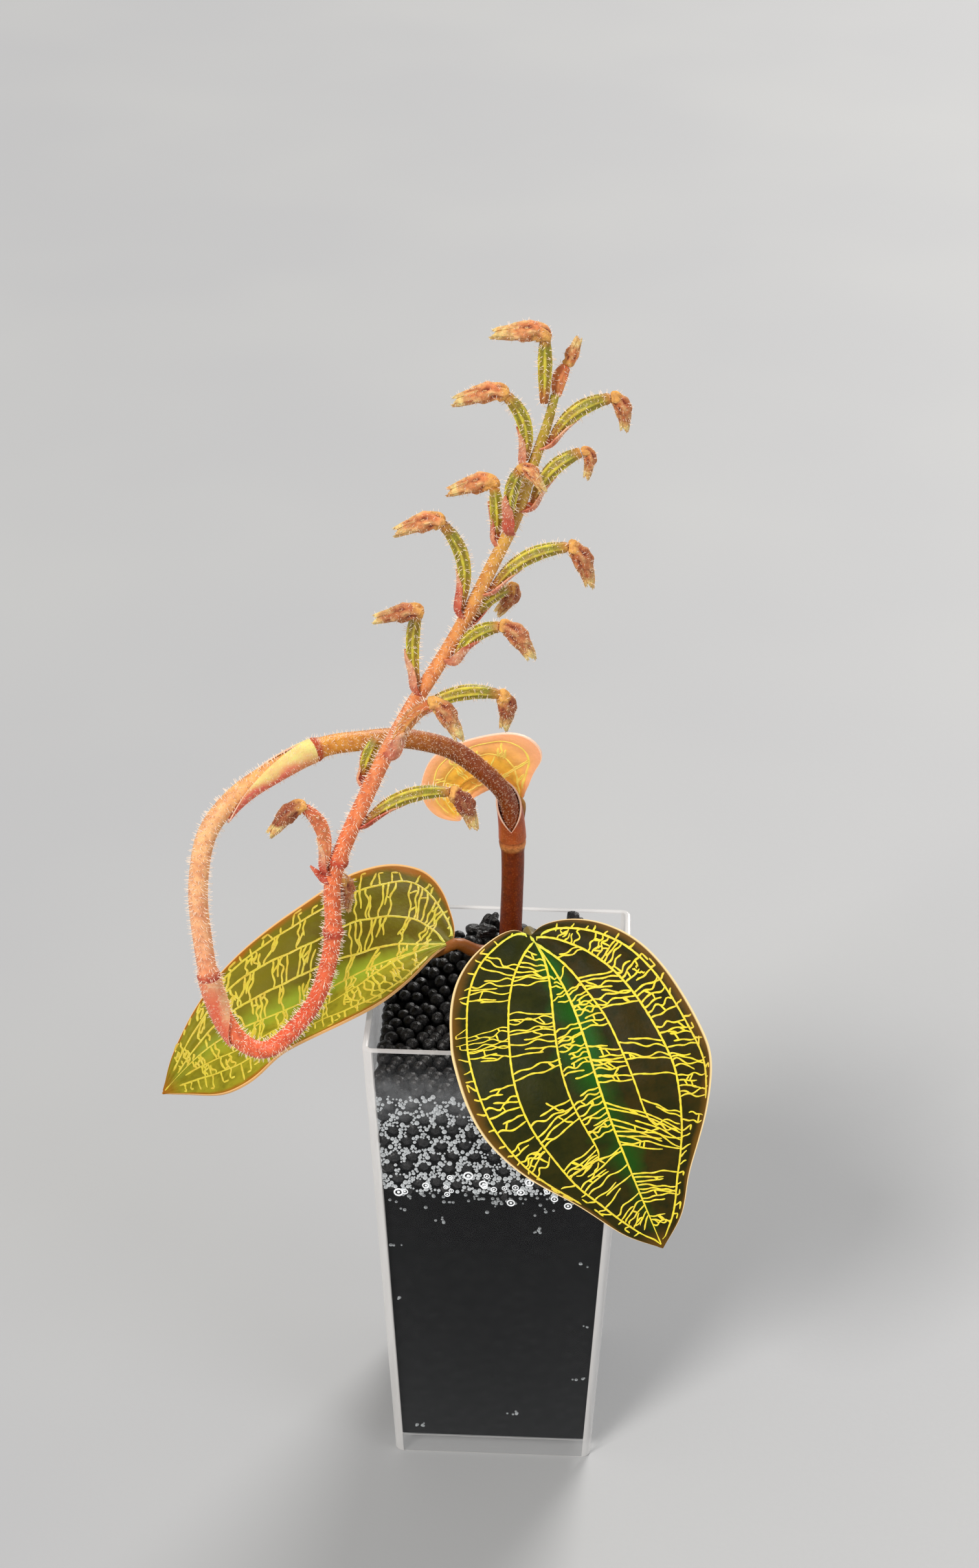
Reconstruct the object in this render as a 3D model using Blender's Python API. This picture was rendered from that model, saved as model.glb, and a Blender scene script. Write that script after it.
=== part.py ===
"""Potted jewel orchid in flower.

A small jewel orchid with three leaves grows from the black pellets of a tall, square, tapered
clear cup. Its flower spike arches over to the left, loops down to just above the cup's rim and
rises again, with spent flowers on ribbed seed capsules. Units are metres, +Z is up, the cup stands
on Z = 0 with its sides square to X and Y, and the origin is the middle of its underside.
"""
import math
import random

import bmesh
import bpy
import numpy as np
from mathutils import Euler, Matrix, Vector

MM = 0.001
GAP = 0.3 * MM
SEED = 7

# The clear cup
CUP_RIM = 56.0 * MM
CUP_BASE = 45.0 * MM
CUP_HEIGHT = 118.5 * MM
CUP_WALL = 1.3 * MM
CUP_FLOOR = 4.0 * MM
CUP_CORNER = 2.0 * MM

# The pellets that fill the cup, and the mound that holds the stem
FILL_GAP = 0.5 * MM
FILL_LEVEL = 107.0 * MM
MOUND_RISE = 10.0 * MM
MOUND_SPREAD = 11.0 * MM
MOUND_CENTRE = Vector((0.0, 15.0)) * MM
PELLET_RADIUS = 2.8 * MM
PELLET_PITCH = 5.3 * MM

# The stem, its node ring and the sheath round the foot of the flower spike
STEM_RADIUS = 2.4 * MM
STEM_CLEARANCE = 0.55 * MM
STEM_FOOT = Vector((1.5, 12.0, 98.0)) * MM
STEM_TOP = Vector((1.8, 12.0, 144.0)) * MM
NODE_RADIUS = 3.0 * MM
SHEATH_RADIUS = 2.95 * MM
SHEATH_WALL = 0.6 * MM
# height above the stem's foot and radius there, up to the foot of the sheath
STEM_PROFILE = [
    (0.0, STEM_RADIUS), (20 * MM, STEM_RADIUS), (30 * MM, STEM_RADIUS), (40 * MM, STEM_RADIUS),
    (42.8 * MM, STEM_RADIUS), (43.6 * MM, 2.75 * MM), (44.6 * MM, NODE_RADIUS),
    (45.4 * MM, 2.8 * MM), (46.5 * MM, SHEATH_RADIUS),
]
# how far along the spike the sheath's rings lie, and those of the socket inside it, in millimetres
SHEATH_RINGS = (3.5, 6.0, 8.5, 11.0)
SOCKET_RINGS = (0.0, 3.5, 6.0, 9.0, 12.0, 16.0)
SHEATH_TAPER = 0.01
# the lip falls from the back of the sheath to its front
LIP_PLACE = Vector((1.2, 12.0, 152.2)) * MM
LIP_TILT = math.radians(52)
LIP_BLOCK = 20 * MM

# The flower spike's route, in millimetres, from the sheath over the arch, round the loop and up
SPIKE_ROUTE = [
    (1.5, 12.0, 147.5), (0.5, 10.0, 158.0), (-4.5, 7.5, 166.0), (-10.5, 4.0, 173.0),
    (-16.5, -1.0, 178.0), (-23.0, -6.0, 181.5), (-28.5, -10.0, 183.0), (-35.0, -14.0, 184.0),
    (-45.0, -20.0, 181.5), (-50.5, -23.0, 179.0), (-55.0, -26.0, 175.5), (-58.0, -28.0, 171.0),
    (-59.5, -30.0, 164.5), (-60.0, -31.0, 158.0), (-59.5, -32.0, 149.5), (-58.5, -33.0, 141.0),
    (-56.5, -33.5, 132.5), (-54.0, -34.0, 127.0), (-51.0, -34.0, 123.5), (-47.5, -34.0, 122.5),
    (-44.0, -33.5, 124.5), (-40.5, -33.0, 128.5), (-37.0, -32.5, 134.0), (-34.5, -31.5, 141.0),
    (-33.0, -30.0, 151.0), (-33.0, -29.0, 161.0), (-31.0, -28.5, 168.5), (-27.0, -27.5, 178.5),
    (-22.0, -26.0, 190.0), (-16.0, -25.0, 202.0), (-10.5, -24.0, 211.5), (-5.0, -23.0, 222.5),
    (-1.0, -22.5, 231.5), (3.0, -22.0, 241.0), (5.5, -21.5, 250.0), (8.0, -21.0, 258.0),
    (9.5, -21.0, 264.5),
]
SPIKE_STEP = 4.1 * MM
# distance along the route in millimetres, radius there in millimetres
SPIKE_RADII = [
    (0, 1.95), (14, 1.95), (24, 2.05), (70, 2.05), (125, 1.95), (160, 1.75), (200, 1.7),
    (225, 1.55), (255, 1.4), (285, 1.15), (306, 0.8),
]
# node rings and the sheaths that start at them: distance along, length, extra radius
SPIKE_SHEATHS = [(66, 24, 0.45), (126, 15, 0.4), (181, 5, 0.25)]

LEAF_THICKNESS = 0.8 * MM
LEAF_ROWS = 14
SMALL_LEAF_ROWS = 10
# across each half blade: share of the half width, and the rise of the blade between its veins
LEAF_COLUMNS = [
    (0.12, 0.25 * MM), (0.25, 0.0), (0.42, 0.3 * MM), (0.58, 0.0), (0.73, 0.25 * MM), (0.87, 0.0),
    (1.0, 0.1 * MM),
]
LEAF_FOLD_SOFTNESS = 3.0 * MM
# the midrib that the leaf stalk becomes: (share of the blade, depth, radius)
SMALL_MIDRIB_SCALE = 0.6
MIDRIB = [
    (0.04, 0.5 * MM, 1.1 * MM), (0.12, 0.4 * MM, 1.0 * MM), (0.24, 0.4 * MM, 0.8 * MM),
    (0.38, 0.4 * MM, 0.65 * MM), (0.55, 0.4 * MM, 0.4 * MM),
]
STALK_STEPS = 14

# Each leaf: the midrib's route in millimetres; the way its upper side faces at its foot and tip;
# how steeply the halves fold up; how far they curl; the outline of each half as distance along
# the midrib and across it, in millimetres; and the leaf stalk's route and its radii there.
LEAVES = {
    "leaf_right": {
        "spine": [(6.5, -11, 137), (14.5, -22.5, 131), (21.5, -36, 118), (29, -42.5, 100),
                  (36, -45.5, 83)],
        "facing": ((0, -0.8, 0.6), (0, -0.8, 0.6)),
        "fold": 0.08,
        "curl": -0.0018,
        "left": [(0, 0), (-3, -1.5), (-4.5, -7), (-3.5, -13.5), (-0.5, -19), (5, -23.5), (14.5, -26.5),
                 (26, -27.5), (36, -26.5), (43, -23.5), (50.5, -18.5), (55.5, -14.5), (61.5, -10.5),
                 (68, -6.5), (74.7, 0)],
        "right": [(0, 0), (-0.5, 2), (0.3, 5.5), (3.8, 10.8), (8, 14.8), (15, 19.3), (22.5, 22),
                  (29, 23.5), (36, 24), (43, 22), (50, 18.4), (56, 14.3), (62, 10.3), (68, 7), (74.7, 0)],
        "petiole": [(4.9, 9.6, 121), (5.5, 3.5, 127.5), (6.0, -4, 133.5), (6.4, -9.5, 136.2)],
        "stalk": (1.4, 1.3, 1.2, 1.2),
    },
    "leaf_left": {
        "spine": [(-11, 6, 123), (-28, -1.5, 121), (-43.5, -4, 112.5), (-61, -9, 105.5),
                  (-73, -13, 94)],
        "facing": ((0, 0, 1), (0, -0.5, 0.85)),
        "fold": 0.34,
        "curl": 0.0,
        "left": [(0, 0), (-1.5, -2), (-3.5, -8.5), (-4, -15), (-2, -20.5), (3, -23.2), (9.5, -23.5),
                 (24, -21.7), (35, -19.5), (44.5, -16), (51, -12.5), (56.5, -9), (62, -6), (68, -3.2),
                 (73.4, 0)],
        "right": [(0, 0), (2, 0.7), (5.5, 3), (10.5, 8), (16, 13.2), (20, 15.7), (24, 15.8), (30, 14.3),
                  (38, 12.5), (44, 12.8), (51, 15.3), (57, 14.5), (66.5, 7), (73.4, 0)],
        "petiole": [(-1.1, 11.2, 118.5), (-4, 9.6, 118.5), (-7.5, 8, 120.6), (-10.2, 6.4, 122.7)],
        "stalk": (1.6, 1.6, 1.5, 1.3),
    },
    "leaf_back": {
        "spine": [(3.6, 16.2, 154.2), (0.5, 18.2, 157), (-4.5, 19.8, 158), (-9, 20.8, 155.5),
                  (-11, 20.8, 151.5), (-10, 19.5, 146.5)],
        "facing": ((0, 0.93, 0.36), (0, 0.93, 0.36)),
        "fold": 0.1,
        "curl": 0.0,
        "left": [(0, 0), (0.5, -3), (4, -5), (9, -6), (15, -6), (21, -3.5), (25.7, 0)],
        "right": [(0, 0), (1, 2.5), (2.5, 7.5), (3.5, 12.5), (5.5, 14.5), (8.5, 12.5), (11.5, 10.5),
                  (15, 9.7), (18, 8.3), (21, 7), (24, 4.4), (25.7, 0)],
        "petiole": [(3.3, 15.1, 149.8), (3.6, 15.6, 151.5), (3.6, 16.0, 153.2)],
        "stalk": (0.84, 0.78, 0.72),
    },
}

# Each flower: where it leaves the spike, in millimetres along the route, then the offsets in
# millimetres from there to the head of its seed capsule, and from that head to the tip of the
# withered flower. A capsule with no flower left has no tip. The lowest flower hangs on the spike.
FLOWERS = {
    "01": (305, (-2, -1, 11.5), (-8.5, -1, 1)),
    "02": (304.5, (1.9, 3.2, 4.8), (2.0, 0.8, 5.0)),
    "03": (292, (-5.5, -1, 12.7), (-8.7, -1.5, -0.6)),
    "04": (297, (12, 2, 6.5), (3, 1, -6)),
    "05": (284, (10.5, 1.5, 8.5), (1.5, 0.5, -5)),
    "06": (279, (1, -4.8, 12.4), (4.2, -3, -2)),
    "07": (275, (-2.5, 2.5, 8.7), (-8, 1, -1.2)),
    "08": (259, (-5.5, -1.5, 18), (-8, -1.5, -1)),
    "09": (265, (15.5, 2, 6.5), (4.5, 0.5, -7.5)),
    "10": (257, (7.5, 6.5, 2.5), (-1.5, 3, -6.5)),
    "11": (249.5, (9.8, -3.5, 6.5), (6, -1.5, -5)),
    "12": (240.5, (-1.5, -2, 16.2), (-7.3, -1, -0.8)),
    "13": (235, (16.5, 3.5, 1), (1.5, 1, -7.5)),
    "14": (226, (8, -6.5, 12.5), (5.5, -2, -5.5)),
    "15": (217, (0.6, 3.1, 7.6), None),
    "16": (208.5, (18, 2.5, 4.5), (5, 1, -8)),
    "17": (197, (-6, -3, 14.5), (-6, -2, -4.5)),
    "19": (192, None, (1.5, 3.5, -8.5)),
}
EMPTY_BRACT_ALONG = 193.0
EMPTY_BRACT_REACH = Vector((-4.2, -1.0, 3.5)) * MM
CAPSULE_BASE = 0.9 * MM
CAPSULE_MIDDLE = 1.55 * MM
CAPSULE_HEAD = 1.0 * MM
CAPSULE_RIBS = 6
CAPSULE_ARCH = 0.13
BRACT_LENGTH = 6.0 * MM
BRACT_HALF_WIDTH = 1.5 * MM
BRACT_HALF_THICKNESS = 0.4 * MM
BLOOM_NECK = 2.8 * MM
BLOOM_FULL_LENGTH = 8.0 * MM
# share of the withered flower's length, and its radius there in millimetres
BLOOM_PROFILE = [(0.0, 0.85), (0.18, 1.0), (0.38, 1.35), (0.6, 1.6), (0.8, 1.2), (0.93, 0.55)]
BLOOM_SIDES = 6
PETAL_TIP_SPREAD = 1.2 * MM
# the buds at the very top, and the smallest capsule, have no bract that can be told apart
NO_BRACT = ("01", "02", "15")
# where the spike starts, in its sheath
SPIKE_START = 1.2 * MM
FINE_STEPS = 620

COLOURS = {
    "pot": (0.85, 0.9, 0.92), "substrate": (0.012, 0.012, 0.013), "stem": (0.2, 0.06, 0.02),
    "spike": (0.75, 0.22, 0.12), "leaf_left": (0.14, 0.15, 0.02), "leaf_right": (0.04, 0.045, 0.008),
    "leaf_back": (0.8, 0.5, 0.12), "capsule": (0.3, 0.28, 0.03), "bloom": (0.5, 0.16, 0.06),
}


def clear_scene():
    for thing in list(bpy.data.objects):
        bpy.data.objects.remove(thing, do_unlink=True)
    for group in list(bpy.data.collections):
        bpy.data.collections.remove(group)


def new_collection(name):
    group = bpy.data.collections.new(name)
    bpy.context.scene.collection.children.link(group)
    return group


def make_material(name, colour, roughness, alpha=1.0):
    material = bpy.data.materials.new(name)
    material.use_nodes = True
    shader = material.node_tree.nodes["Principled BSDF"]
    shader.inputs["Base Color"].default_value = (*colour, 1.0)
    shader.inputs["Roughness"].default_value = roughness
    shader.inputs["Metallic"].default_value = 0.0
    shader.inputs["Alpha"].default_value = alpha
    return material


def add_object(name, data, group):
    thing = bpy.data.objects.new(name, data)
    group.objects.link(thing)
    return thing


def evaluated_mesh(thing, weld=0.00001):
    """The object's mesh with its modifiers, and a curve's loose caps welded."""
    bpy.context.view_layer.update()
    graph = bpy.context.evaluated_depsgraph_get()
    mesh = bpy.data.meshes.new_from_object(thing.evaluated_get(graph))
    bm = bmesh.new()
    bm.from_mesh(mesh)
    bmesh.ops.remove_doubles(bm, verts=bm.verts, dist=weld)
    bmesh.ops.recalc_face_normals(bm, faces=bm.faces)
    bm.to_mesh(mesh)
    bm.free()
    return mesh


def apply_modifiers(thing):
    mesh = evaluated_mesh(thing, 0.000001)
    thing.modifiers.clear()
    thing.data = mesh


def mark_cutter(cutter):
    cutter.hide_render = True
    cutter.display_type = "WIRE"


def cut(thing, cutter, solver="EXACT"):
    mark_cutter(cutter)
    trim = thing.modifiers.new("cut", "BOOLEAN")
    trim.operation = "DIFFERENCE"
    trim.solver = solver
    trim.object = cutter
    apply_modifiers(thing)


def union(body, pieces, solver="EXACT"):
    """Join the pieces to the body with one Boolean on their collection, and remove them."""
    group = new_collection(body.name + "_pieces")
    for piece in pieces:
        for holder in list(piece.users_collection):
            holder.objects.unlink(piece)
        group.objects.link(piece)
    join = body.modifiers.new("join", "BOOLEAN")
    join.operation = "UNION"
    join.solver = solver
    join.operand_type = "COLLECTION"
    join.collection = group
    apply_modifiers(body)
    for piece in pieces:
        bpy.data.objects.remove(piece, do_unlink=True)
    bpy.data.collections.remove(group)


def finish(thing, material, angle=40.0):
    thing.data.materials.clear()
    thing.data.materials.append(material)
    thing.data.shade_smooth()
    thing.data.set_sharp_from_angle(angle=math.radians(angle))


def natural_spline(points, count):
    """Evenly spaced points on a smooth curve through the given ones."""
    knots = np.array(points, float)
    reach = np.concatenate([[0.0], np.cumsum(np.linalg.norm(np.diff(knots, axis=0), axis=1))])
    step = np.diff(reach)
    size = len(knots)
    system = np.eye(size)
    target = np.zeros_like(knots)
    for i in range(1, size - 1):
        system[i, i - 1:i + 2] = step[i - 1], 2 * (step[i - 1] + step[i]), step[i]
        target[i] = 6 * ((knots[i + 1] - knots[i]) / step[i] - (knots[i] - knots[i - 1]) / step[i - 1])
    bend = np.linalg.solve(system, target)
    fine = np.linspace(0.0, reach[-1], 40 * size)
    piece = np.clip(np.searchsorted(reach, fine, side="right") - 1, 0, size - 2)
    length = step[piece][:, None]
    after = fine[:, None] - reach[piece][:, None]
    before = length - after
    curve = (bend[piece] * before ** 3 + bend[piece + 1] * after ** 3) / (6 * length)
    curve += (knots[piece] / length - bend[piece] * length / 6) * before
    curve += (knots[piece + 1] / length - bend[piece + 1] * length / 6) * after
    travelled = np.concatenate([[0.0], np.cumsum(np.linalg.norm(np.diff(curve, axis=0), axis=1))])
    even = np.linspace(0.0, travelled[-1], count)
    spread = np.column_stack([np.interp(even, travelled, curve[:, axis]) for axis in range(knots.shape[1])])
    return spread, travelled[-1]


def along(points, distance):
    """The place and direction at a distance along evenly spaced points."""
    span = np.linalg.norm(points[1] - points[0])
    place = min(max(distance / span, 0.0), len(points) - 1.001)
    index = int(place)
    here = points[index] + (points[index + 1] - points[index]) * (place - index)
    heading = points[index + 1] - points[index]
    return Vector(here), Vector(heading).normalized()


def tube(name, points, radii, group, resolution=2):
    """A closed round tube along the points, as a mesh."""
    curve = bpy.data.curves.new(name, "CURVE")
    curve.dimensions = "3D"
    curve.bevel_depth = 1.0
    curve.bevel_resolution = resolution
    curve.use_fill_caps = True
    line = curve.splines.new("POLY")
    line.points.add(len(points) - 1)
    for point, place, radius in zip(line.points, points, radii):
        point.co = (*place, 1.0)
        point.radius = radius
    route = add_object(name + "_route", curve, group)
    mesh = evaluated_mesh(route)
    bpy.data.objects.remove(route, do_unlink=True)
    return add_object(name, mesh, group)


def loft(name, rings, group):
    """A closed skin over rings of equal count, with a point at each end."""
    bm = bmesh.new()
    sides = len(rings[0])
    loops = [[bm.verts.new(place) for place in ring] for ring in rings]
    for low, high in zip(loops, loops[1:]):
        for i in range(sides):
            j = (i + 1) % sides
            bm.faces.new((low[i], low[j], high[j], high[i]))
    bm.faces.new(list(reversed(loops[0])))
    bm.faces.new(loops[-1])
    bmesh.ops.triangulate(bm, faces=bm.faces)
    bmesh.ops.recalc_face_normals(bm, faces=bm.faces)
    mesh = bpy.data.meshes.new(name)
    bm.to_mesh(mesh)
    bm.free()
    return add_object(name, mesh, group)


def cup_half(height):
    """Half the cup's outer width at a height."""
    share = height / CUP_HEIGHT
    return (CUP_BASE + (CUP_RIM - CUP_BASE) * share) / 2


def tapered_block(name, low, high, inset, corner, group):
    """A block that follows the cup's taper between two heights."""
    bm = bmesh.new()
    bmesh.ops.create_cube(bm, size=2.0)
    for vert in bm.verts:
        height = high if vert.co.z > 0 else low
        half = cup_half(height) - inset
        vert.co = Vector((math.copysign(half, vert.co.x), math.copysign(half, vert.co.y), height))
    if corner > 0:
        upright = [edge for edge in bm.edges if abs(edge.verts[0].co.z - edge.verts[1].co.z) > high / 3]
        bmesh.ops.bevel(bm, geom=upright, offset=corner, segments=3, profile=0.5, affect="EDGES")
    mesh = bpy.data.meshes.new(name)
    bm.to_mesh(mesh)
    bm.free()
    return add_object(name, mesh, group)


def make_cup(parts, cutters, material):
    cup = tapered_block("pot", 0.0, CUP_HEIGHT, 0.0, CUP_CORNER, parts)
    above_rim = CUP_HEIGHT + 5 * MM
    inner_corner = CUP_CORNER - CUP_WALL
    hollow = tapered_block("pot_hollow", CUP_FLOOR, above_rim, CUP_WALL, inner_corner, cutters)
    cut(cup, hollow)
    finish(cup, material, 30)


def mound_height(x, y):
    away = (Vector((x, y)) - MOUND_CENTRE).length
    return FILL_LEVEL + MOUND_RISE * math.exp(-away ** 2 / (2 * MOUND_SPREAD ** 2))


def make_fill(parts, cutters, material):
    """Pellets: a block with a mounded top that is covered with pellets sunk into it."""
    draw = random.Random(SEED)
    inset = CUP_WALL + FILL_GAP
    half_top = cup_half(FILL_LEVEL) - inset
    bm = bmesh.new()
    bmesh.ops.create_grid(bm, x_segments=7, y_segments=7, size=half_top)
    for vert in bm.verts:
        vert.co.z = mound_height(vert.co.x, vert.co.y)
        grow = (cup_half(vert.co.z) - inset) / half_top
        vert.co.x *= grow
        vert.co.y *= grow
    edge_loop = [edge for edge in bm.edges if edge.is_boundary]
    skirt = bmesh.ops.extrude_edge_only(bm, edges=edge_loop)["geom"]
    floor = CUP_FLOOR + GAP
    for vert in (item for item in skirt if isinstance(item, bmesh.types.BMVert)):
        shrink = (cup_half(floor) - inset) / (cup_half(vert.co.z) - inset)
        vert.co = Vector((vert.co.x * shrink, vert.co.y * shrink, floor))
    bmesh.ops.holes_fill(bm, edges=[edge for edge in bm.edges if edge.is_boundary], sides=0)
    bmesh.ops.recalc_face_normals(bm, faces=bm.faces)
    mesh = bpy.data.meshes.new("substrate")
    bm.to_mesh(mesh)
    bm.free()
    fill = add_object("substrate", mesh, parts)

    pellets = []
    row_pitch = PELLET_PITCH * math.sqrt(3) / 2
    reach = cup_half(FILL_LEVEL) - inset - PELLET_RADIUS
    rows = int(reach / row_pitch)
    for row in range(-rows, rows + 1):
        shift = PELLET_PITCH / 2 if row % 2 else 0.0
        columns = int((reach + shift) / PELLET_PITCH)
        for column in range(-columns, columns + 1):
            x = column * PELLET_PITCH + shift + draw.uniform(-0.4, 0.4) * MM
            y = row * row_pitch + draw.uniform(-0.4, 0.4) * MM
            z = mound_height(x, y) + draw.uniform(-0.2, 0.9) * MM
            turn = [draw.uniform(0, math.tau) for _ in range(3)]
            near_stem = (Vector((x, y)) - STEM_FOOT.xy).length < STEM_RADIUS + PELLET_RADIUS + 1.0 * MM
            if abs(x) > reach or abs(y) > reach or near_stem:
                continue
            bm = bmesh.new()
            bmesh.ops.create_icosphere(bm, subdivisions=1, radius=PELLET_RADIUS)
            placed = Matrix.Translation((x, y, z)) @ Euler(turn).to_matrix().to_4x4()
            bmesh.ops.transform(bm, verts=bm.verts, matrix=placed)
            ball = bpy.data.meshes.new("pellet")
            bm.to_mesh(ball)
            bm.free()
            pellets.append(add_object("pellet", ball, parts))
    union(fill, pellets)

    hole_points = [STEM_FOOT - Vector((0, 0, GAP)), STEM_FOOT + Vector((0, 0, 40 * MM))]
    hole = tube("stem_hole", hole_points, [STEM_RADIUS + STEM_CLEARANCE] * 2, cutters, 3)
    cut(fill, hole)
    finish(fill, material, 25)


def make_stem(parts, cutters, material, spike_points):
    """The upright stem, its node ring and the open sheath that the spike comes out of."""
    whole = STEM_TOP - STEM_FOOT
    points = [STEM_FOOT + whole * (level / whole.length) for level, _ in STEM_PROFILE]
    radii = [radius for _, radius in STEM_PROFILE]
    for distance in SHEATH_RINGS:
        points.append(along(spike_points, distance * MM)[0])
        radii.append(SHEATH_RADIUS - distance * SHEATH_TAPER * MM)
    stem = tube("stem", points, radii, parts, 3)

    inner = [along(spike_points, distance * MM)[0] for distance in SOCKET_RINGS]
    socket = tube("sheath_hollow", inner, [SHEATH_RADIUS - SHEATH_WALL] * len(inner), cutters, 3)
    cut(stem, socket)

    bm = bmesh.new()
    bmesh.ops.create_cube(bm, size=LIP_BLOCK)
    lip = Matrix.Translation(LIP_PLACE) @ Matrix.Rotation(LIP_TILT, 4, "X")
    raised = Matrix.Translation((0, 0, LIP_BLOCK / 2))
    bmesh.ops.transform(bm, verts=bm.verts, matrix=lip @ raised)
    mesh = bpy.data.meshes.new("sheath_lip")
    bm.to_mesh(mesh)
    bm.free()
    cut(stem, add_object("sheath_lip", mesh, cutters))
    finish(stem, material)


def sheath_radius(distance):
    """Extra radius of the sheath or node ring at a distance along the spike, in millimetres."""
    for start, length, extra in SPIKE_SHEATHS:
        if start <= distance <= start + length:
            taper = (distance - start) / length
            ring = 0.35 * math.exp(-((distance - start) / 1.2) ** 2)
            return ring + extra * (1 - 0.5 * taper)
    return 0.0


def flower_frame(spike_points, distance, reach):
    """Where a flower stands on the spike: its axis point, the spike's heading there, the way out."""
    axis_point, heading = along(spike_points, distance * MM)
    toward = reach.normalized()
    out = (toward - heading * toward.dot(heading)).normalized()
    return axis_point, heading, toward, out


def capsule_path(spike_points, distance, head_offset):
    """Start, middle and head of a seed capsule, clear of the spike by the gap."""
    axis_point, heading, toward, out = flower_frame(spike_points, distance, head_offset)
    radius = np.interp(distance, *zip(*SPIKE_RADII)) * MM
    lean = abs(toward.dot(heading))
    start = axis_point + out * (radius + GAP * 1.3 + CAPSULE_BASE * lean)
    head = axis_point + head_offset
    line = head - start
    rise = Vector((0, 0, 1)) - line.normalized() * line.normalized().z
    # a capsule that stands close along the spike arches less, so it stays clear of it
    arch = CAPSULE_ARCH * min(1.0, (1 - lean) / 0.18)
    middle = (start + head) / 2 + rise.normalized() * line.length * arch
    return start, middle, head


def quadratic(start, middle, end, share):
    control = 2 * middle - (start + end) / 2
    return start * (1 - share) ** 2 + control * 2 * share * (1 - share) + end * share ** 2


def side_axes(heading, hint):
    across = heading.cross(hint).normalized()
    return across, across.cross(heading).normalized()


def make_capsule(name, path, parts, material):
    """A ribbed, arched seed capsule."""
    profile = [(0.0, CAPSULE_BASE), (0.12, 1.05 * MM), (0.35, 1.4 * MM), (0.62, CAPSULE_MIDDLE),
               (0.86, 1.3 * MM), (1.0, CAPSULE_HEAD)]
    rings = []
    for share, radius in profile:
        place = quadratic(*path, share)
        heading = (quadratic(*path, share + 0.02) - quadratic(*path, share - 0.02)).normalized()
        across, up = side_axes(heading, Vector((0.05, -1.0, 0.1)))
        ring = []
        for i in range(2 * CAPSULE_RIBS):
            angle = math.pi * i / CAPSULE_RIBS
            swell = radius * (1.0 if i % 2 else 0.86)
            ring.append(place + across * math.cos(angle) * swell + up * math.sin(angle) * swell)
        rings.append(ring)
    capsule = loft(name, rings, parts)
    finish(capsule, material, 60)


def blade_rings(points, widths, thickness, flat_normal, sides=6):
    """Flattened rings along a path, for bracts and withered petals."""
    rings = []
    for index, (place, width) in enumerate(zip(points, widths)):
        before = points[max(index - 1, 0)]
        after = points[min(index + 1, len(points) - 1)]
        heading = (after - before).normalized()
        across = heading.cross(flat_normal).normalized()
        up = across.cross(heading).normalized()
        thick = min(thickness, width * 0.8)
        ring = []
        for i in range(sides):
            angle = math.tau * i / sides
            ring.append(place + across * math.cos(angle) * width + up * math.sin(angle) * thick)
        rings.append(ring)
    return rings


def make_bract(spike_points, distance, head_offset, parts):
    """The small pointed leaf below a flower, rooted in the spike and cupped under the capsule."""
    axis_point, heading, toward, out = flower_frame(spike_points, distance, head_offset)
    start, middle, _ = capsule_path(spike_points, distance, head_offset)
    first = (middle - start).normalized()
    lean = abs(first.dot(heading))
    below = -(heading - toward * heading.dot(toward)).normalized()
    clear = CAPSULE_BASE + GAP + BRACT_HALF_THICKNESS
    root = axis_point - heading * (1.2 + 2.4 * lean) * MM
    points = [
        root,
        start - first * 1.3 * MM + below * (clear + 0.1 * MM),
        start + first * 0.8 * MM + below * (clear + 0.15 * MM),
        start + first * BRACT_LENGTH * 0.6 + below * (clear + 0.5 * MM),
        start + first * BRACT_LENGTH + below * (clear + 0.65 * MM),
    ]
    widths = [1.0 * MM, 1.3 * MM, BRACT_HALF_WIDTH, 1.2 * MM, 0.3 * MM]
    return loft("bract", blade_rings(points, widths, BRACT_HALF_THICKNESS, below), parts)


def make_spike(parts, material):
    """The hairy stalk with its node rings, sheaths and bracts, as one piece."""
    route = [Vector(place) * MM for place in SPIKE_ROUTE]
    _, length = natural_spline(route, 2)
    points, _ = natural_spline(route, int(length / SPIKE_STEP) + 1)
    fine, _ = natural_spline(route, FINE_STEPS)
    step = length / (len(points) - 1) / MM
    distances = [SPIKE_START / MM] + [index * step for index in range(1, len(points))]
    places = [along(fine, distance * MM)[0] for distance in distances]
    radii = []
    for distance in distances:
        radii.append((np.interp(distance, *zip(*SPIKE_RADII)) + sheath_radius(distance)) * MM)
    spike = tube("flower_spike", places, radii, parts)
    bracts = []
    for number, (distance, head_offset, _) in FLOWERS.items():
        if head_offset is not None and number not in NO_BRACT:
            bracts.append(make_bract(fine, distance, Vector(head_offset) * MM, parts))
    axis_point, heading = along(fine, EMPTY_BRACT_ALONG * MM)
    empty = [axis_point, axis_point + EMPTY_BRACT_REACH * 0.5, axis_point + EMPTY_BRACT_REACH * 1.1]
    widths = [0.9 * MM, BRACT_HALF_WIDTH, 0.3 * MM]
    bracts.append(loft("bract", blade_rings(empty, widths, BRACT_HALF_THICKNESS, heading), parts))
    union(spike, bracts)
    finish(spike, material)
    return fine


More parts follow.
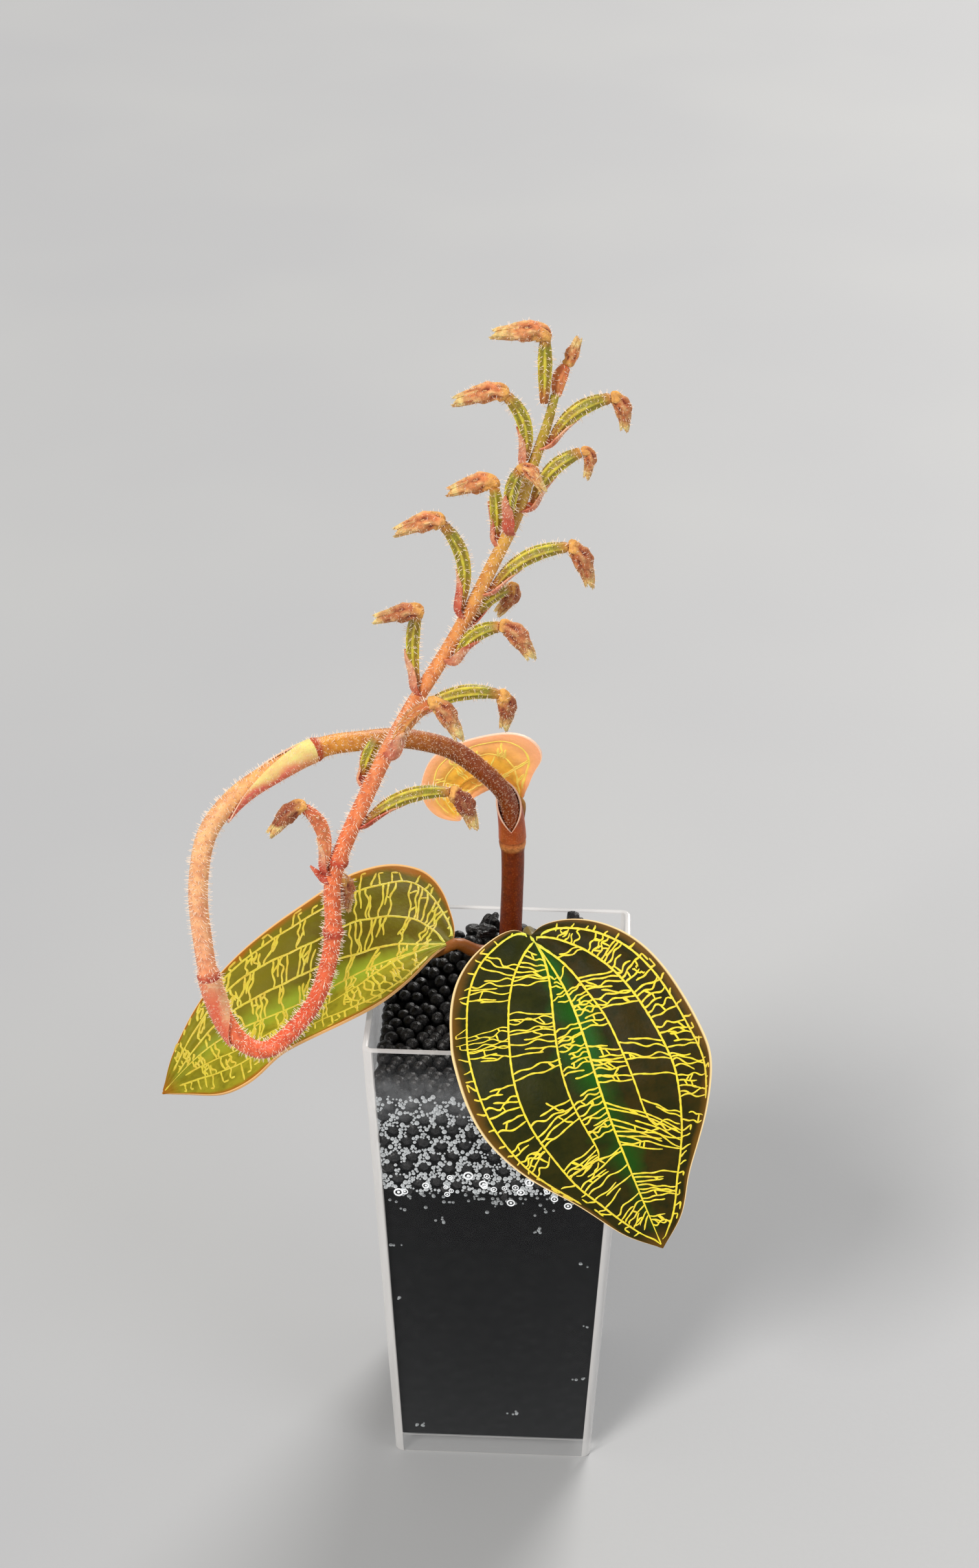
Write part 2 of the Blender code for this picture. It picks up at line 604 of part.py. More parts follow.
def make_bloom(name, seat, heading, tip, parts, material, draw):
    """A withered flower: it leaves its capsule straight on, droops, and ends in dry petal tips."""
    start = seat + heading * GAP * 1.2
    length = (tip - start).length
    middle = (start + tip) / 4 + (seat + heading * BLOOM_NECK) / 2
    stout = min(1.0, length / BLOOM_FULL_LENGTH)
    rings = []
    for share, radius in BLOOM_PROFILE:
        place = quadratic(start, middle, tip, share)
        ahead = (quadratic(start, middle, tip, share + 0.05) - quadratic(start, middle, tip, share - 0.05))
        across, up = side_axes(ahead.normalized(), Vector((0.1, -1.0, 0.3)))
        ring = []
        for i in range(BLOOM_SIDES):
            angle = math.tau * i / BLOOM_SIDES
            swell = radius * stout * MM * draw.uniform(0.82, 1.08)
            ring.append(place + across * math.cos(angle) * swell + up * math.sin(angle) * swell)
        rings.append(ring)
    body = loft(name, rings, parts)
    ahead = (tip - middle).normalized()
    across, up = side_axes(ahead, Vector((0.1, -1.0, 0.3)))
    tips = []
    for side in (-1, 1):
        root = quadratic(start, middle, tip, 0.6)
        end = tip + across * side * PETAL_TIP_SPREAD + up * draw.uniform(-0.5, 0.5) * MM
        points = [root, root.lerp(end, 0.6) + across * side * 0.3 * MM, end]
        widths = [0.8 * MM, 0.8 * MM, 0.25 * MM]
        tips.append(loft("petal_tip", blade_rings(points, widths, 0.4 * MM, up, 4), parts))
    union(body, tips)
    finish(body, material, 50)


def make_flowers(parts, spike_points, capsule_material, bloom_material):
    draw = random.Random(SEED + 1)
    for number, (distance, head_offset, tip_offset) in FLOWERS.items():
        if head_offset is not None:
            path = capsule_path(spike_points, distance, Vector(head_offset) * MM)
            make_capsule("capsule_" + number, path, parts, capsule_material)
            heading = (path[2] - quadratic(*path, 0.95)).normalized()
            seat = path[2]
        else:
            axis_point, along_spike, toward, out = flower_frame(spike_points, distance, Vector(tip_offset))
            seat = axis_point + out * np.interp(distance, *zip(*SPIKE_RADII)) * MM
            heading = out
        if tip_offset is not None:
            tip = seat + Vector(tip_offset) * MM
            make_bloom("bloom_" + number, seat, heading, tip, parts, bloom_material, draw)


def leaf_surface(leaf):
    """A function that takes a distance along the midrib and across it to a place and a normal."""
    spine, length = natural_spline([Vector(place) * MM for place in leaf["spine"]], 240)
    face_foot, face_tip = (Vector(face) for face in leaf["facing"])
    soft = LEAF_FOLD_SOFTNESS

    def surface(u, v):
        inside = min(max(u, 0.0), length)
        here, _ = along(spine, inside)
        ahead, _ = along(spine, min(inside + 1.5 * MM, length))
        behind, _ = along(spine, max(inside - 1.5 * MM, 0.0))
        heading = (ahead - behind).normalized()
        facing = face_foot.lerp(face_tip, inside / length)
        across = facing.cross(heading).normalized()
        normal = heading.cross(across)
        lift = leaf["fold"] * (math.sqrt(v * v + soft * soft) - soft) + leaf["curl"] * v * v / MM
        return here + heading * (u - inside) + across * v + normal * lift, normal

    return surface, length


def make_leaf(name, parts, material):
    """A veined blade on its stalk, which runs on below the blade as its midrib."""
    leaf = LEAVES[name]
    surface, length = leaf_surface(leaf)
    small = name == "leaf_back"
    rows = SMALL_LEAF_ROWS if small else LEAF_ROWS
    edges = {}
    for side in ("left", "right"):
        outline = [(u * MM, v * MM) for u, v in leaf[side]]
        edges[side], _ = natural_spline(outline, rows + 1)
    strips = []
    for row in range(1, rows):
        middle = np.array([length * row / rows, 0.0])
        strip = []
        for side in ("left", "right"):
            half = []
            for share, relief in LEAF_COLUMNS:
                u, v = middle + (edges[side][row] - middle) * share
                half.append((u, v, relief))
            strip.append(half)
        strips.append(list(reversed(strip[0])) + [(middle[0], 0.0, 0.0)] + strip[1])
    bm = bmesh.new()
    layers = []
    for offset in (LEAF_THICKNESS / 2, -LEAF_THICKNESS / 2):
        grid = []
        for strip in strips:
            line = []
            for u, v, relief in strip:
                place, normal = surface(u, v)
                line.append(bm.verts.new(place + normal * (relief + offset)))
            grid.append(line)
        ends = [surface(u, 0.0) for u in (0.0, length)]
        poles = [bm.verts.new(place + normal * offset) for place, normal in ends]
        layers.append((grid, poles))
    for (grid, poles), flip in zip(layers, (False, True)):
        faces = []
        for low, high in zip(grid, grid[1:]):
            for i in range(len(low) - 1):
                faces.append((low[i], low[i + 1], high[i + 1]))
                faces.append((low[i], high[i + 1], high[i]))
        for i in range(len(grid[0]) - 1):
            faces.append((poles[0], grid[0][i + 1], grid[0][i]))
            faces.append((poles[1], grid[-1][i], grid[-1][i + 1]))
        for face in faces:
            bm.faces.new(reversed(face) if flip else face)
    borders = []
    for grid, poles in layers:
        near = [line[0] for line in grid]
        far = [line[-1] for line in reversed(grid)]
        borders.append([poles[0]] + near + [poles[1]] + far)
    upper, lower = borders
    for i in range(len(upper)):
        j = (i + 1) % len(upper)
        bm.faces.new((upper[i], upper[j], lower[j]))
        bm.faces.new((upper[i], lower[j], lower[i]))
    bmesh.ops.recalc_face_normals(bm, faces=bm.faces)
    mesh = bpy.data.meshes.new(name)
    bm.to_mesh(mesh)
    bm.free()
    blade = add_object(name, mesh, parts)

    stalk = [Vector(place) * MM for place in leaf["petiole"]]
    size = SMALL_MIDRIB_SCALE if small else 1.0
    radii = [radius * MM for radius in leaf["stalk"]]
    for share, depth, radius in MIDRIB:
        place, normal = surface(length * share, 0.0)
        stalk.append(place - normal * depth)
        radii.append(radius * size)
    points, _ = natural_spline(stalk, STALK_STEPS)
    shares = np.linspace(0, 1, STALK_STEPS)
    spread = np.interp(shares, np.linspace(0, 1, len(radii)), radii)
    petiole = tube(name + "_stalk", [Vector(place) for place in points], spread, parts)
    union(blade, [petiole])
    finish(blade, material, 50)


def main():
    clear_scene()
    parts = new_collection("potted_jewel_orchid")
    cutters = new_collection("cutters")
    look = {
        "pot": make_material("clear_plastic", COLOURS["pot"], 0.08, 0.35),
        "substrate": make_material("black_pellets", COLOURS["substrate"], 0.7),
        "stem": make_material("stem_brown", COLOURS["stem"], 0.5),
        "spike": make_material("spike_coral", COLOURS["spike"], 0.5),
        "capsule": make_material("capsule_olive", COLOURS["capsule"], 0.5),
        "bloom": make_material("withered_flower", COLOURS["bloom"], 0.7),
    }
    for name in LEAVES:
        look[name] = make_material(name + "_blade", COLOURS[name], 0.4)
    make_cup(parts, cutters, look["pot"])
    make_fill(parts, cutters, look["substrate"])
    spike_points = make_spike(parts, look["spike"])
    make_stem(parts, cutters, look["stem"], spike_points)
    for name in LEAVES:
        make_leaf(name, parts, look[name])
    make_flowers(parts, spike_points, look["capsule"], look["bloom"])
    for cutter in list(cutters.objects):
        bpy.data.objects.remove(cutter, do_unlink=True)
    bpy.data.collections.remove(cutters)


main()
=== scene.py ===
# %% [markdown]
# # Dressing a potted jewel orchid
#
# A jewel orchid in a tall square clear cup: three gold-veined leaves, a brown stem and a long
# hairy flower spike that loops to the left and rises with its spent flowers. The plain solids are
# loaded first. Every cell after that makes one piece or one finish and sets it in its place.

import math
import random

import bmesh
import bpy
import numpy as np
from mathutils import Matrix, Vector


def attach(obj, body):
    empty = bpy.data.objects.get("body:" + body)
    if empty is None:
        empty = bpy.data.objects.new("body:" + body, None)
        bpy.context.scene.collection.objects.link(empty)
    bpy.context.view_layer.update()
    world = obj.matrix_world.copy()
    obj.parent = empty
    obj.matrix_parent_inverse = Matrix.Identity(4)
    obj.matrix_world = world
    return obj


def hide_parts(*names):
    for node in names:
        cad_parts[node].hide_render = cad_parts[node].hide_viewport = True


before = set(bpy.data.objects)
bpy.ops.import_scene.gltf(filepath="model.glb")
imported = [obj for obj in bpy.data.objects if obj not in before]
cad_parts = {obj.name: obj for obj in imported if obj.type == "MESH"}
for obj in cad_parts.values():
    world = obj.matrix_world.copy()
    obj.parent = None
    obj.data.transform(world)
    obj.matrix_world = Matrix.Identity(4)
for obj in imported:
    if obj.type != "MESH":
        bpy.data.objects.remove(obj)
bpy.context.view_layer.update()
MM = 0.001

# %% [markdown]
# ## Camera
#
# The plant is seen from the front and a good way above it, with the cup turned a little. The lens
# could be guessed by eye, but the cup is square and its four rim corners show, so a camera that
# puts those corners in the right places has only one place to stand. It is written here as a
# place, three turns and a focal length.

# %% Place the camera
CAMERA_PLACE = Vector((0.0179, -0.5159, 0.4827))
CAMERA_PITCH = math.radians(31.4)
CAMERA_ROLL = math.radians(0.45)
CAMERA_YAW = math.radians(2.3)
IMAGE_HEIGHT = 2422
FOCAL_PIXELS = 4500
SENSOR_HEIGHT = 36.0


def place_camera():
    data = bpy.data.cameras.new("camera")
    data.sensor_fit = "VERTICAL"
    data.sensor_height = SENSOR_HEIGHT
    data.lens = FOCAL_PIXELS / IMAGE_HEIGHT * SENSOR_HEIGHT
    data.clip_start = 0.01
    camera = bpy.data.objects.new("camera", data)
    bpy.context.scene.collection.objects.link(camera)
    upright = Matrix.Rotation(math.radians(90) - CAMERA_PITCH, 4, "X")
    turn = Matrix.Rotation(CAMERA_YAW, 4, "Z") @ upright @ Matrix.Rotation(CAMERA_ROLL, 4, "Z")
    camera.matrix_world = Matrix.Translation(CAMERA_PLACE) @ turn
    bpy.context.scene.camera = camera
    return camera


camera = place_camera()
print("focal length", round(camera.data.lens, 1), "mm")

# %% [markdown]
# ## Working by hand, in code
#
# A primitive is added, opened in edit mode, and shaped by operators. An operator acts on all that
# is selected, so each step first clears the selection. The small helpers here do that, and read or
# move a mesh's points all at once, which is how a straight piece is later bent along its route.

# %% Helpers for selecting and moving points
def clear_selection():
    if bpy.context.object and bpy.context.object.mode != "OBJECT":
        bpy.ops.object.mode_set(mode="OBJECT")
    bpy.ops.object.select_all(action="DESELECT")


def make_active(piece):
    clear_selection()
    piece.select_set(True)
    bpy.context.view_layer.objects.active = piece


def apply_place(piece):
    make_active(piece)
    bpy.ops.object.transform_apply(location=True, rotation=True, scale=True)


def points_of(piece):
    flat = np.empty(len(piece.data.vertices) * 3)
    piece.data.vertices.foreach_get("co", flat)
    return flat.reshape(-1, 3)


def move_points(piece, places):
    piece.data.vertices.foreach_set("co", np.asarray(places, float).ravel())
    piece.data.update()


def select_where(piece, kind, wanted):
    """In edit mode, select the faces, edges or verts for which wanted says yes."""
    bpy.ops.mesh.select_mode(type={"faces": "FACE", "edges": "EDGE", "verts": "VERT"}[kind])
    bpy.ops.mesh.select_all(action="DESELECT")
    bm = bmesh.from_edit_mesh(piece.data)
    for item in getattr(bm, kind):
        if wanted(item):
            item.select_set(True)
    bm.select_flush_mode()
    bmesh.update_edit_mesh(piece.data)


def edit(piece):
    make_active(piece)
    bpy.ops.object.mode_set(mode="EDIT")


def leave_edit():
    bpy.ops.object.mode_set(mode="OBJECT")


def apply_modifier(piece, kind, **settings):
    make_active(piece)
    modifier = piece.modifiers.new(kind.lower(), kind)
    for key, value in settings.items():
        setattr(modifier, key, value)
    bpy.ops.object.modifier_apply(modifier=modifier.name)


def shade_round(piece, angle=40):
    make_active(piece)
    bpy.ops.object.shade_smooth_by_angle(angle=math.radians(angle))


def copy_of(piece, name):
    twin = piece.copy()
    twin.data = piece.data.copy()
    twin.name = name
    twin.data.name = name
    bpy.context.scene.collection.objects.link(twin)
    return twin


def discard(piece):
    bpy.data.objects.remove(piece, do_unlink=True)


def add_attribute(piece, name, values):
    layer = piece.data.attributes.new(name, "FLOAT", "POINT")
    layer.data.foreach_set("value", np.asarray(values, np.float32))


def settle(piece, slot, *nodes):
    """Ride with the plant and stand for the plain nodes. The slot is not used."""
    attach(piece, "root")
    if nodes:
        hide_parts(*nodes)


# %% [markdown]
# ## Curves to build on
#
# Stalks and midribs follow routes that are given by a few points. Straight runs between them would
# look like bent wire, so a smooth curve is put through the points and walked at an even pace.

# %% Smooth routes
def natural_spline(points, count):
    """Evenly spaced points on a smooth curve through the given ones, and its length."""
    knots = np.array(points, float)
    reach = np.concatenate([[0.0], np.cumsum(np.linalg.norm(np.diff(knots, axis=0), axis=1))])
    step = np.diff(reach)
    size = len(knots)
    system = np.eye(size)
    target = np.zeros_like(knots)
    for i in range(1, size - 1):
        system[i, i - 1:i + 2] = step[i - 1], 2 * (step[i - 1] + step[i]), step[i]
        target[i] = 6 * ((knots[i + 1] - knots[i]) / step[i] - (knots[i] - knots[i - 1]) / step[i - 1])
    bend = np.linalg.solve(system, target)
    fine = np.linspace(0.0, reach[-1], 40 * size)
    piece = np.clip(np.searchsorted(reach, fine, side="right") - 1, 0, size - 2)
    length = step[piece][:, None]
    after = fine[:, None] - reach[piece][:, None]
    before = length - after
    curve = (bend[piece] * before ** 3 + bend[piece + 1] * after ** 3) / (6 * length)
    curve += (knots[piece] / length - bend[piece] * length / 6) * before
    curve += (knots[piece + 1] / length - bend[piece + 1] * length / 6) * after
    travelled = np.concatenate([[0.0], np.cumsum(np.linalg.norm(np.diff(curve, axis=0), axis=1))])
    even = np.linspace(0.0, travelled[-1], count)
    spread = [np.interp(even, travelled, curve[:, axis]) for axis in range(knots.shape[1])]
    return np.column_stack(spread), travelled[-1]


def unit(vectors):
    return vectors / np.maximum(np.linalg.norm(vectors, axis=-1, keepdims=True), 1e-12)


class Route:
    """A smooth route through points in millimetres, with a steady sideways direction."""

    def __init__(self, points, hint=(0.05, -1.0, 0.1), count=400):
        self.points, self.length = natural_spline(np.array(points, float) * MM, count)
        self.hint = np.array(hint)
        self.share = np.linspace(0.0, 1.0, count)

    def frame(self, share):
        """Place, heading, across and up at shares of the whole length."""
        share = np.atleast_1d(share)
        small = 0.5 / len(self.share)
        place = self.at(share)
        heading = unit(self.at(share + small) - self.at(share - small))
        across = unit(np.cross(self.hint, heading))
        up = np.cross(heading, across)
        return place, heading, across, up

    def at(self, share):
        inside = np.clip(share, 0.0, 1.0)
        place = np.column_stack([np.interp(inside, self.share, self.points[:, i]) for i in range(3)])
        first = self.points[1] - self.points[0]
        last = self.points[-1] - self.points[-2]
        beyond = (share - inside)[:, None] * (len(self.share) - 1)
        return place + np.where(beyond < 0, first, last) * beyond


def straight_tube(name, sides, rings, ends="NGON"):
    """A tube of radius 1, from z = 0 to z = 1. rings are the cuts of its sides, in two rounds."""
    clear_selection()
    bpy.ops.mesh.primitive_cylinder_add(vertices=sides, radius=1, depth=1, location=(0, 0, 0.5),
                                        end_fill_type=ends)
    tube = bpy.context.object
    tube.name = name
    apply_place(tube)
    edit(tube)
    shortest = 1.0
    for cuts in rings:
        select_where(tube, "edges",
                     lambda edge: abs(edge.verts[0].co.z - edge.verts[1].co.z) > shortest * 0.5)
        bpy.ops.mesh.subdivide(number_cuts=cuts)
        shortest /= cuts + 1
    leave_edit()
    return tube


def lay_along(piece, route, width, start=0.0, end=1.0):
    """Bend a straight piece along a route. width is a number or a function of the share."""
    local = points_of(piece)
    share = start + (end - start) * local[:, 2]
    place, _, across, up = route.frame(share)
    size = (width(share) if callable(width) else width * np.ones(len(share)))[:, None]
    add_attribute(piece, "along", share)
    add_attribute(piece, "around", np.arctan2(local[:, 1], local[:, 0]) / math.pi)
    move_points(piece, place + across * local[:, :1] * size + up * local[:, 1:2] * size)


print("helpers are ready")

# %% [markdown]
# ## Colours and shared effects
#
# Colours are noted as they are seen on the plant, from 0 to 255, and turned into the linear values
# that shaders use. Two effects are wanted by nearly every finish, a blotchy mixture of two colours
# and a fine grain. Each is a node group, built once and placed in each material with its own
# values.

# %% Colour and node helpers
def seen(red, green, blue):
    """A colour as seen on screen, as the linear values that a shader takes."""
    linear = []
    for value in (red, green, blue):
        value = value / 255
        linear.append(value / 12.92 if value <= 0.04045 else ((value + 0.055) / 1.055) ** 2.4)
    return (*linear, 1.0)


def add_node(tree, kind, inputs=None, **settings):
    """Add a node, with its settings, and with values or links on its inputs."""
    made = tree.nodes.new(kind)
    for key, value in settings.items():
        setattr(made, key, value)
    for key, value in (inputs or {}).items():
        if isinstance(value, bpy.types.NodeSocket):
            tree.links.new(value, made.inputs[key])
        else:
            made.inputs[key].default_value = value
    return made


def mix(tree, factor, first, second, blend="MIX"):
    made = add_node(tree, "ShaderNodeMix", data_type="RGBA", blend_type=blend, clamp_factor=True)
    for index, value in ((0, factor), (6, first), (7, second)):
        if isinstance(value, bpy.types.NodeSocket):
            tree.links.new(value, made.inputs[index])
        else:
            made.inputs[index].default_value = value
    return made.outputs[2]


def ramp(tree, factor, stops, interpolation="LINEAR"):
    """A colour ramp through (place, colour) stops."""
    made = add_node(tree, "ShaderNodeValToRGB", {0: factor})
    band = made.color_ramp
    band.interpolation = interpolation
    while len(band.elements) < len(stops):
        band.elements.new(0.5)
    for element, (place, colour) in zip(band.elements, stops):
        element.position = place
        element.color = colour
    return made.outputs["Color"]


def spread(tree, value, low, high, to_low=0.0, to_high=1.0):
    made = add_node(tree, "ShaderNodeMapRange", {0: value, 1: low, 2: high, 3: to_low, 4: to_high})
    return made.outputs[0]


def maths(tree, operation, first, second=0.0):
    return add_node(tree, "ShaderNodeMath", {0: first, 1: second}, operation=operation).outputs[0]


def attribute(tree, name):
    return add_node(tree, "ShaderNodeAttribute", attribute_name=name).outputs["Fac"]


def object_coordinates(tree):
    return add_node(tree, "ShaderNodeTexCoord").outputs["Object"]


def noise(tree, scale, detail=3.0, roughness=0.5, vector=None):
    vector = vector or object_coordinates(tree)
    inputs = {"Vector": vector, "Scale": scale, "Detail": detail, "Roughness": roughness}
    return add_node(tree, "ShaderNodeTexNoise", inputs).outputs["Fac"]


# %% Two shared effects
def new_group(name, inputs, outputs):
    group = bpy.data.node_groups.new(name, "ShaderNodeTree")
    for title, kind, value in inputs:
        socket = group.interface.new_socket(title, in_out="INPUT", socket_type=kind)
        socket.default_value = value
    for title, kind in outputs:
        group.interface.new_socket(title, in_out="OUTPUT", socket_type=kind)
    entry = group.nodes.new("NodeGroupInput").outputs
    leave = group.nodes.new("NodeGroupOutput").inputs
    return group, entry, leave


def blotches_group():
    """Two colours mixed in soft blotches, with darker specks strewn over them."""
    group, entry, leave = new_group(
        "blotches",
        [("Base", "NodeSocketColor", (1, 1, 1, 1)), ("Blotch", "NodeSocketColor", (0, 0, 0, 1)),
         ("Speck", "NodeSocketColor", (0, 0, 0, 1)), ("Size", "NodeSocketFloat", 600.0),
         ("Blotch amount", "NodeSocketFloat", 0.5), ("Speck amount", "NodeSocketFloat", 0.2)],
        [("Colour", "NodeSocketColor"), ("Mask", "NodeSocketFloat")],
    )
    soft = noise(group, entry["Size"], 3.0, 0.55)
    mask = spread(group, soft, 0.42, 0.62)
    blotched = mix(group, maths(group, "MULTIPLY", mask, entry["Blotch amount"]), entry["Base"],
                   entry["Blotch"])
    fine = noise(group, maths(group, "MULTIPLY", entry["Size"], 4.0), 1.0, 0.5)
    specks = spread(group, fine, 0.56, 0.66)
    speckled = mix(group, maths(group, "MULTIPLY", specks, entry["Speck amount"]), blotched,
                   entry["Speck"])
    group.links.new(speckled, leave["Colour"])
    group.links.new(mask, leave["Mask"])
    return group


def grain_group():
    """Fine grain: a height for a bump, and a roughness that varies with it."""
    group, entry, leave = new_group(
        "grain",
        [("Size", "NodeSocketFloat", 2000.0), ("Roughness", "NodeSocketFloat", 0.5),
         ("Variation", "NodeSocketFloat", 0.1)],
        [("Height", "NodeSocketFloat"), ("Roughness", "NodeSocketFloat")],
    )
    height = noise(group, entry["Size"], 2.0, 0.6)
    offset = maths(group, "MULTIPLY", maths(group, "SUBTRACT", height, 0.5), entry["Variation"])
    group.links.new(height, leave["Height"])
    group.links.new(maths(group, "ADD", entry["Roughness"], offset), leave["Roughness"])
    return group


BLOTCHES = blotches_group()
GRAIN = grain_group()


def blotches(tree, base, blotch, speck, size, blotch_amount, speck_amount):
    made = add_node(tree, "ShaderNodeGroup", node_tree=BLOTCHES)
    values = {"Base": base, "Blotch": blotch, "Speck": speck, "Size": size,
              "Blotch amount": blotch_amount, "Speck amount": speck_amount}
    for key, value in values.items():
        if isinstance(value, bpy.types.NodeSocket):
            tree.links.new(value, made.inputs[key])
        else:
            made.inputs[key].default_value = value
    return made.outputs["Colour"]


def start_material(name, **constants):
    """A material with its Principled shader, whose constants are set on its own sockets."""
    material = bpy.data.materials.new(name)
    material.use_nodes = True
    tree = material.node_tree
    shader = tree.nodes["Principled BSDF"]
    for key, value in constants.items():
        shader.inputs[key.replace("_", " ")].default_value = value
    return material, tree, shader


def add_grain(tree, shader, size, roughness, variation, depth, strength=0.5):
    """Place the grain group on a shader's roughness and, through a bump, on its normal."""
    made = add_node(tree, "ShaderNodeGroup", node_tree=GRAIN)
    made.inputs["Size"].default_value = size
    made.inputs["Roughness"].default_value = roughness
    made.inputs["Variation"].default_value = variation
    bump = add_node(tree, "ShaderNodeBump", {"Height": made.outputs["Height"], "Distance": depth,
                                             "Strength": strength})
    tree.links.new(made.outputs["Roughness"], shader.inputs["Roughness"])
    tree.links.new(bump.outputs["Normal"], shader.inputs["Normal"])
    return made.outputs["Height"]


def paint(piece, *materials):
    """Put the materials in the piece's slots, which its faces already point to."""
    while len(piece.data.materials) < len(materials):
        piece.data.materials.append(None)
    for index, material in enumerate(materials):
        piece.data.materials[index] = material


print("shared effects:", BLOTCHES.name, "and", GRAIN.name)

# %% [markdown]
# ## Floor and light
#
# A plain pale floor and soft studio light show the plant from any side. The light has to be even
# a long way out, or the floor turns dark behind the plant in a low view, and lamps near the plant
# can't do that. So each is a wide, soft sun: one high on the left gives the main light, a weaker
# one fills from the right, and one behind the plant lights the rims of the leaves and the hairs.

# %% Floor, world and lamps
FLOOR_SIZE = 80.0
# each lamp: where it shines from, its width in degrees, strength, colour
LAMPS = {
    "main_lamp": ((-1.4, -1.9, 2.3), 18, 2.45, (1.0, 0.97, 0.93)),
    "fill_lamp": ((2.0, -1.25, 1.2), 33, 0.71, (0.97, 0.98, 1.0)),
    "rim_lamp": ((0.75, 2.1, 1.8), 26, 2.3, (1.0, 0.98, 0.95)),
}
LAMP_TARGET = Vector((-0.005, -0.005, 0.14))
WORLD_STRENGTH = 0.36


def make_floor():
    clear_selection()
    bpy.ops.mesh.primitive_plane_add(size=FLOOR_SIZE)
    floor = bpy.context.object
    floor.name = "floor"
    material, tree, shader = start_material("pale_floor", Specular_IOR_Level=0.3)
    cloudy = noise(tree, 6.0, 2.0)
    tone = mix(tree, spread(tree, cloudy, 0.4, 0.65), seen(170, 171, 173), seen(173, 174, 175))
    tree.links.new(tone, shader.inputs["Base Color"])
    add_grain(tree, shader, 900.0, 0.55, 0.1, 0.0002, 0.1)
    paint(floor, material)
    return floor


def make_light():
    world = bpy.data.worlds.new("studio")
    bpy.context.scene.world = world
    world.use_nodes = True
    background = world.node_tree.nodes["Background"]
    background.inputs["Color"].default_value = (0.86, 0.85, 0.84, 1.0)
    background.inputs["Strength"].default_value = WORLD_STRENGTH
    for name, (place, width, strength, colour) in LAMPS.items():
        data = bpy.data.lights.new(name, "SUN")
        data.angle = math.radians(width)
        data.energy = strength
        data.color = colour
        lamp = bpy.data.objects.new(name, data)
        bpy.context.scene.collection.objects.link(lamp)
        lamp.location = place
        lamp.rotation_euler = (LAMP_TARGET - Vector(place)).to_track_quat("-Z", "Y").to_euler()


make_floor()
make_light()
bpy.context.scene.view_settings.view_transform = "Standard"
print("lamps:", ", ".join(LAMPS))

# %% [markdown]
# ## The clear cup
#
# The cup is moulded from clear hard plastic, 56 mm square at the rim and 45 mm at its foot, with a thick
# floor. Seen edge-on, its walls gather light and look milky, while face-on they almost vanish. It starts as
# a cube: the top face is widened, the upright edges are rounded, and the top is inset and pushed down to
# make the inside. A refracting glass shader would be slow and grainy round so many pellets, so the walls
# let light straight through, more or less by the angle they are seen at. Where they are seen edge-on they
# turn pale and solid, and the rounded edges carry a milkier finish still. This paleness is painted light,
# standing for the light that the plastic gathers and reflects there.

# %% Shape the cup
CUP_RIM = 56.0 * MM
CUP_BASE = 45.0 * MM
CUP_HEIGHT = 118.5 * MM
CUP_WALL = 1.3 * MM
CUP_FLOOR = 4.0 * MM
CUP_CORNER = 2.0 * MM
EDGE_ROUND = 0.35 * MM


def cup_half(height):
    """Half the cup's outer width at a height."""
    return (CUP_BASE + (CUP_RIM - CUP_BASE) * height / CUP_HEIGHT) / 2


def tapered_block(name, low, high, inset):
    """A block that follows the cup's taper between two heights."""
    clear_selection()
    wide = 2 * (cup_half(low) - inset)
    bpy.ops.mesh.primitive_cube_add(size=1, location=(0, 0, (low + high) / 2),
                                    scale=(wide, wide, high - low))
    block = bpy.context.object
    block.name = name
    apply_place(block)
    edit(block)
    select_where(block, "faces", lambda face: face.normal.z > 0.9)
    grow = (cup_half(high) - inset) / (cup_half(low) - inset)
    bpy.ops.transform.resize(value=(grow, grow, 1), center_override=(0, 0, high))
    leave_edit()
    return block


def make_cup():
    cup = tapered_block("clear_cup", 0.0, CUP_HEIGHT, 0.0)
    edit(cup)
    select_where(cup, "edges", lambda edge: abs(edge.verts[0].co.z - edge.verts[1].co.z) > 0.1)
    bpy.ops.mesh.bevel(offset=CUP_CORNER, segments=4, affect="EDGES")
    select_where(cup, "faces", lambda face: face.normal.z > 0.9)
    bpy.ops.mesh.inset(thickness=CUP_WALL)
    depth = CUP_HEIGHT - CUP_FLOOR
    bpy.ops.mesh.extrude_region_move(TRANSFORM_OT_translate={"value": (0, 0, -depth)})
    shrink = (cup_half(CUP_FLOOR) - CUP_WALL) / (cup_half(CUP_HEIGHT) - CUP_WALL)
    bpy.ops.transform.resize(value=(shrink, shrink, 1), center_override=(0, 0, CUP_FLOOR))
    leave_edit()
    cup.data.materials.append(None)
    cup.data.materials.append(None)
    apply_modifier(cup, "BEVEL", width=EDGE_ROUND, segments=2, limit_method="ANGLE",
                   angle_limit=math.radians(40), material=1)
    for face in cup.data.polygons:
        corner = abs(face.normal.x) > 0.15 and abs(face.normal.y) > 0.15
        rim = abs(face.normal.z) > 0.9 and face.center.z > CUP_HEIGHT - 1 * MM
        if corner or rim:
            face.material_index = 1
    shade_round(cup, 30)
    return cup


cup = make_cup()
print("cup faces:", len(cup.data.polygons))

# %% [markdown]
# A little mist hangs on the wall just above the pellets. It is a noise mask that depends on the
# height, and only makes the plastic less clear there.

# %% Clear plastic
MIST_LOW = 98 * MM
MIST_HIGH = 114 * MM


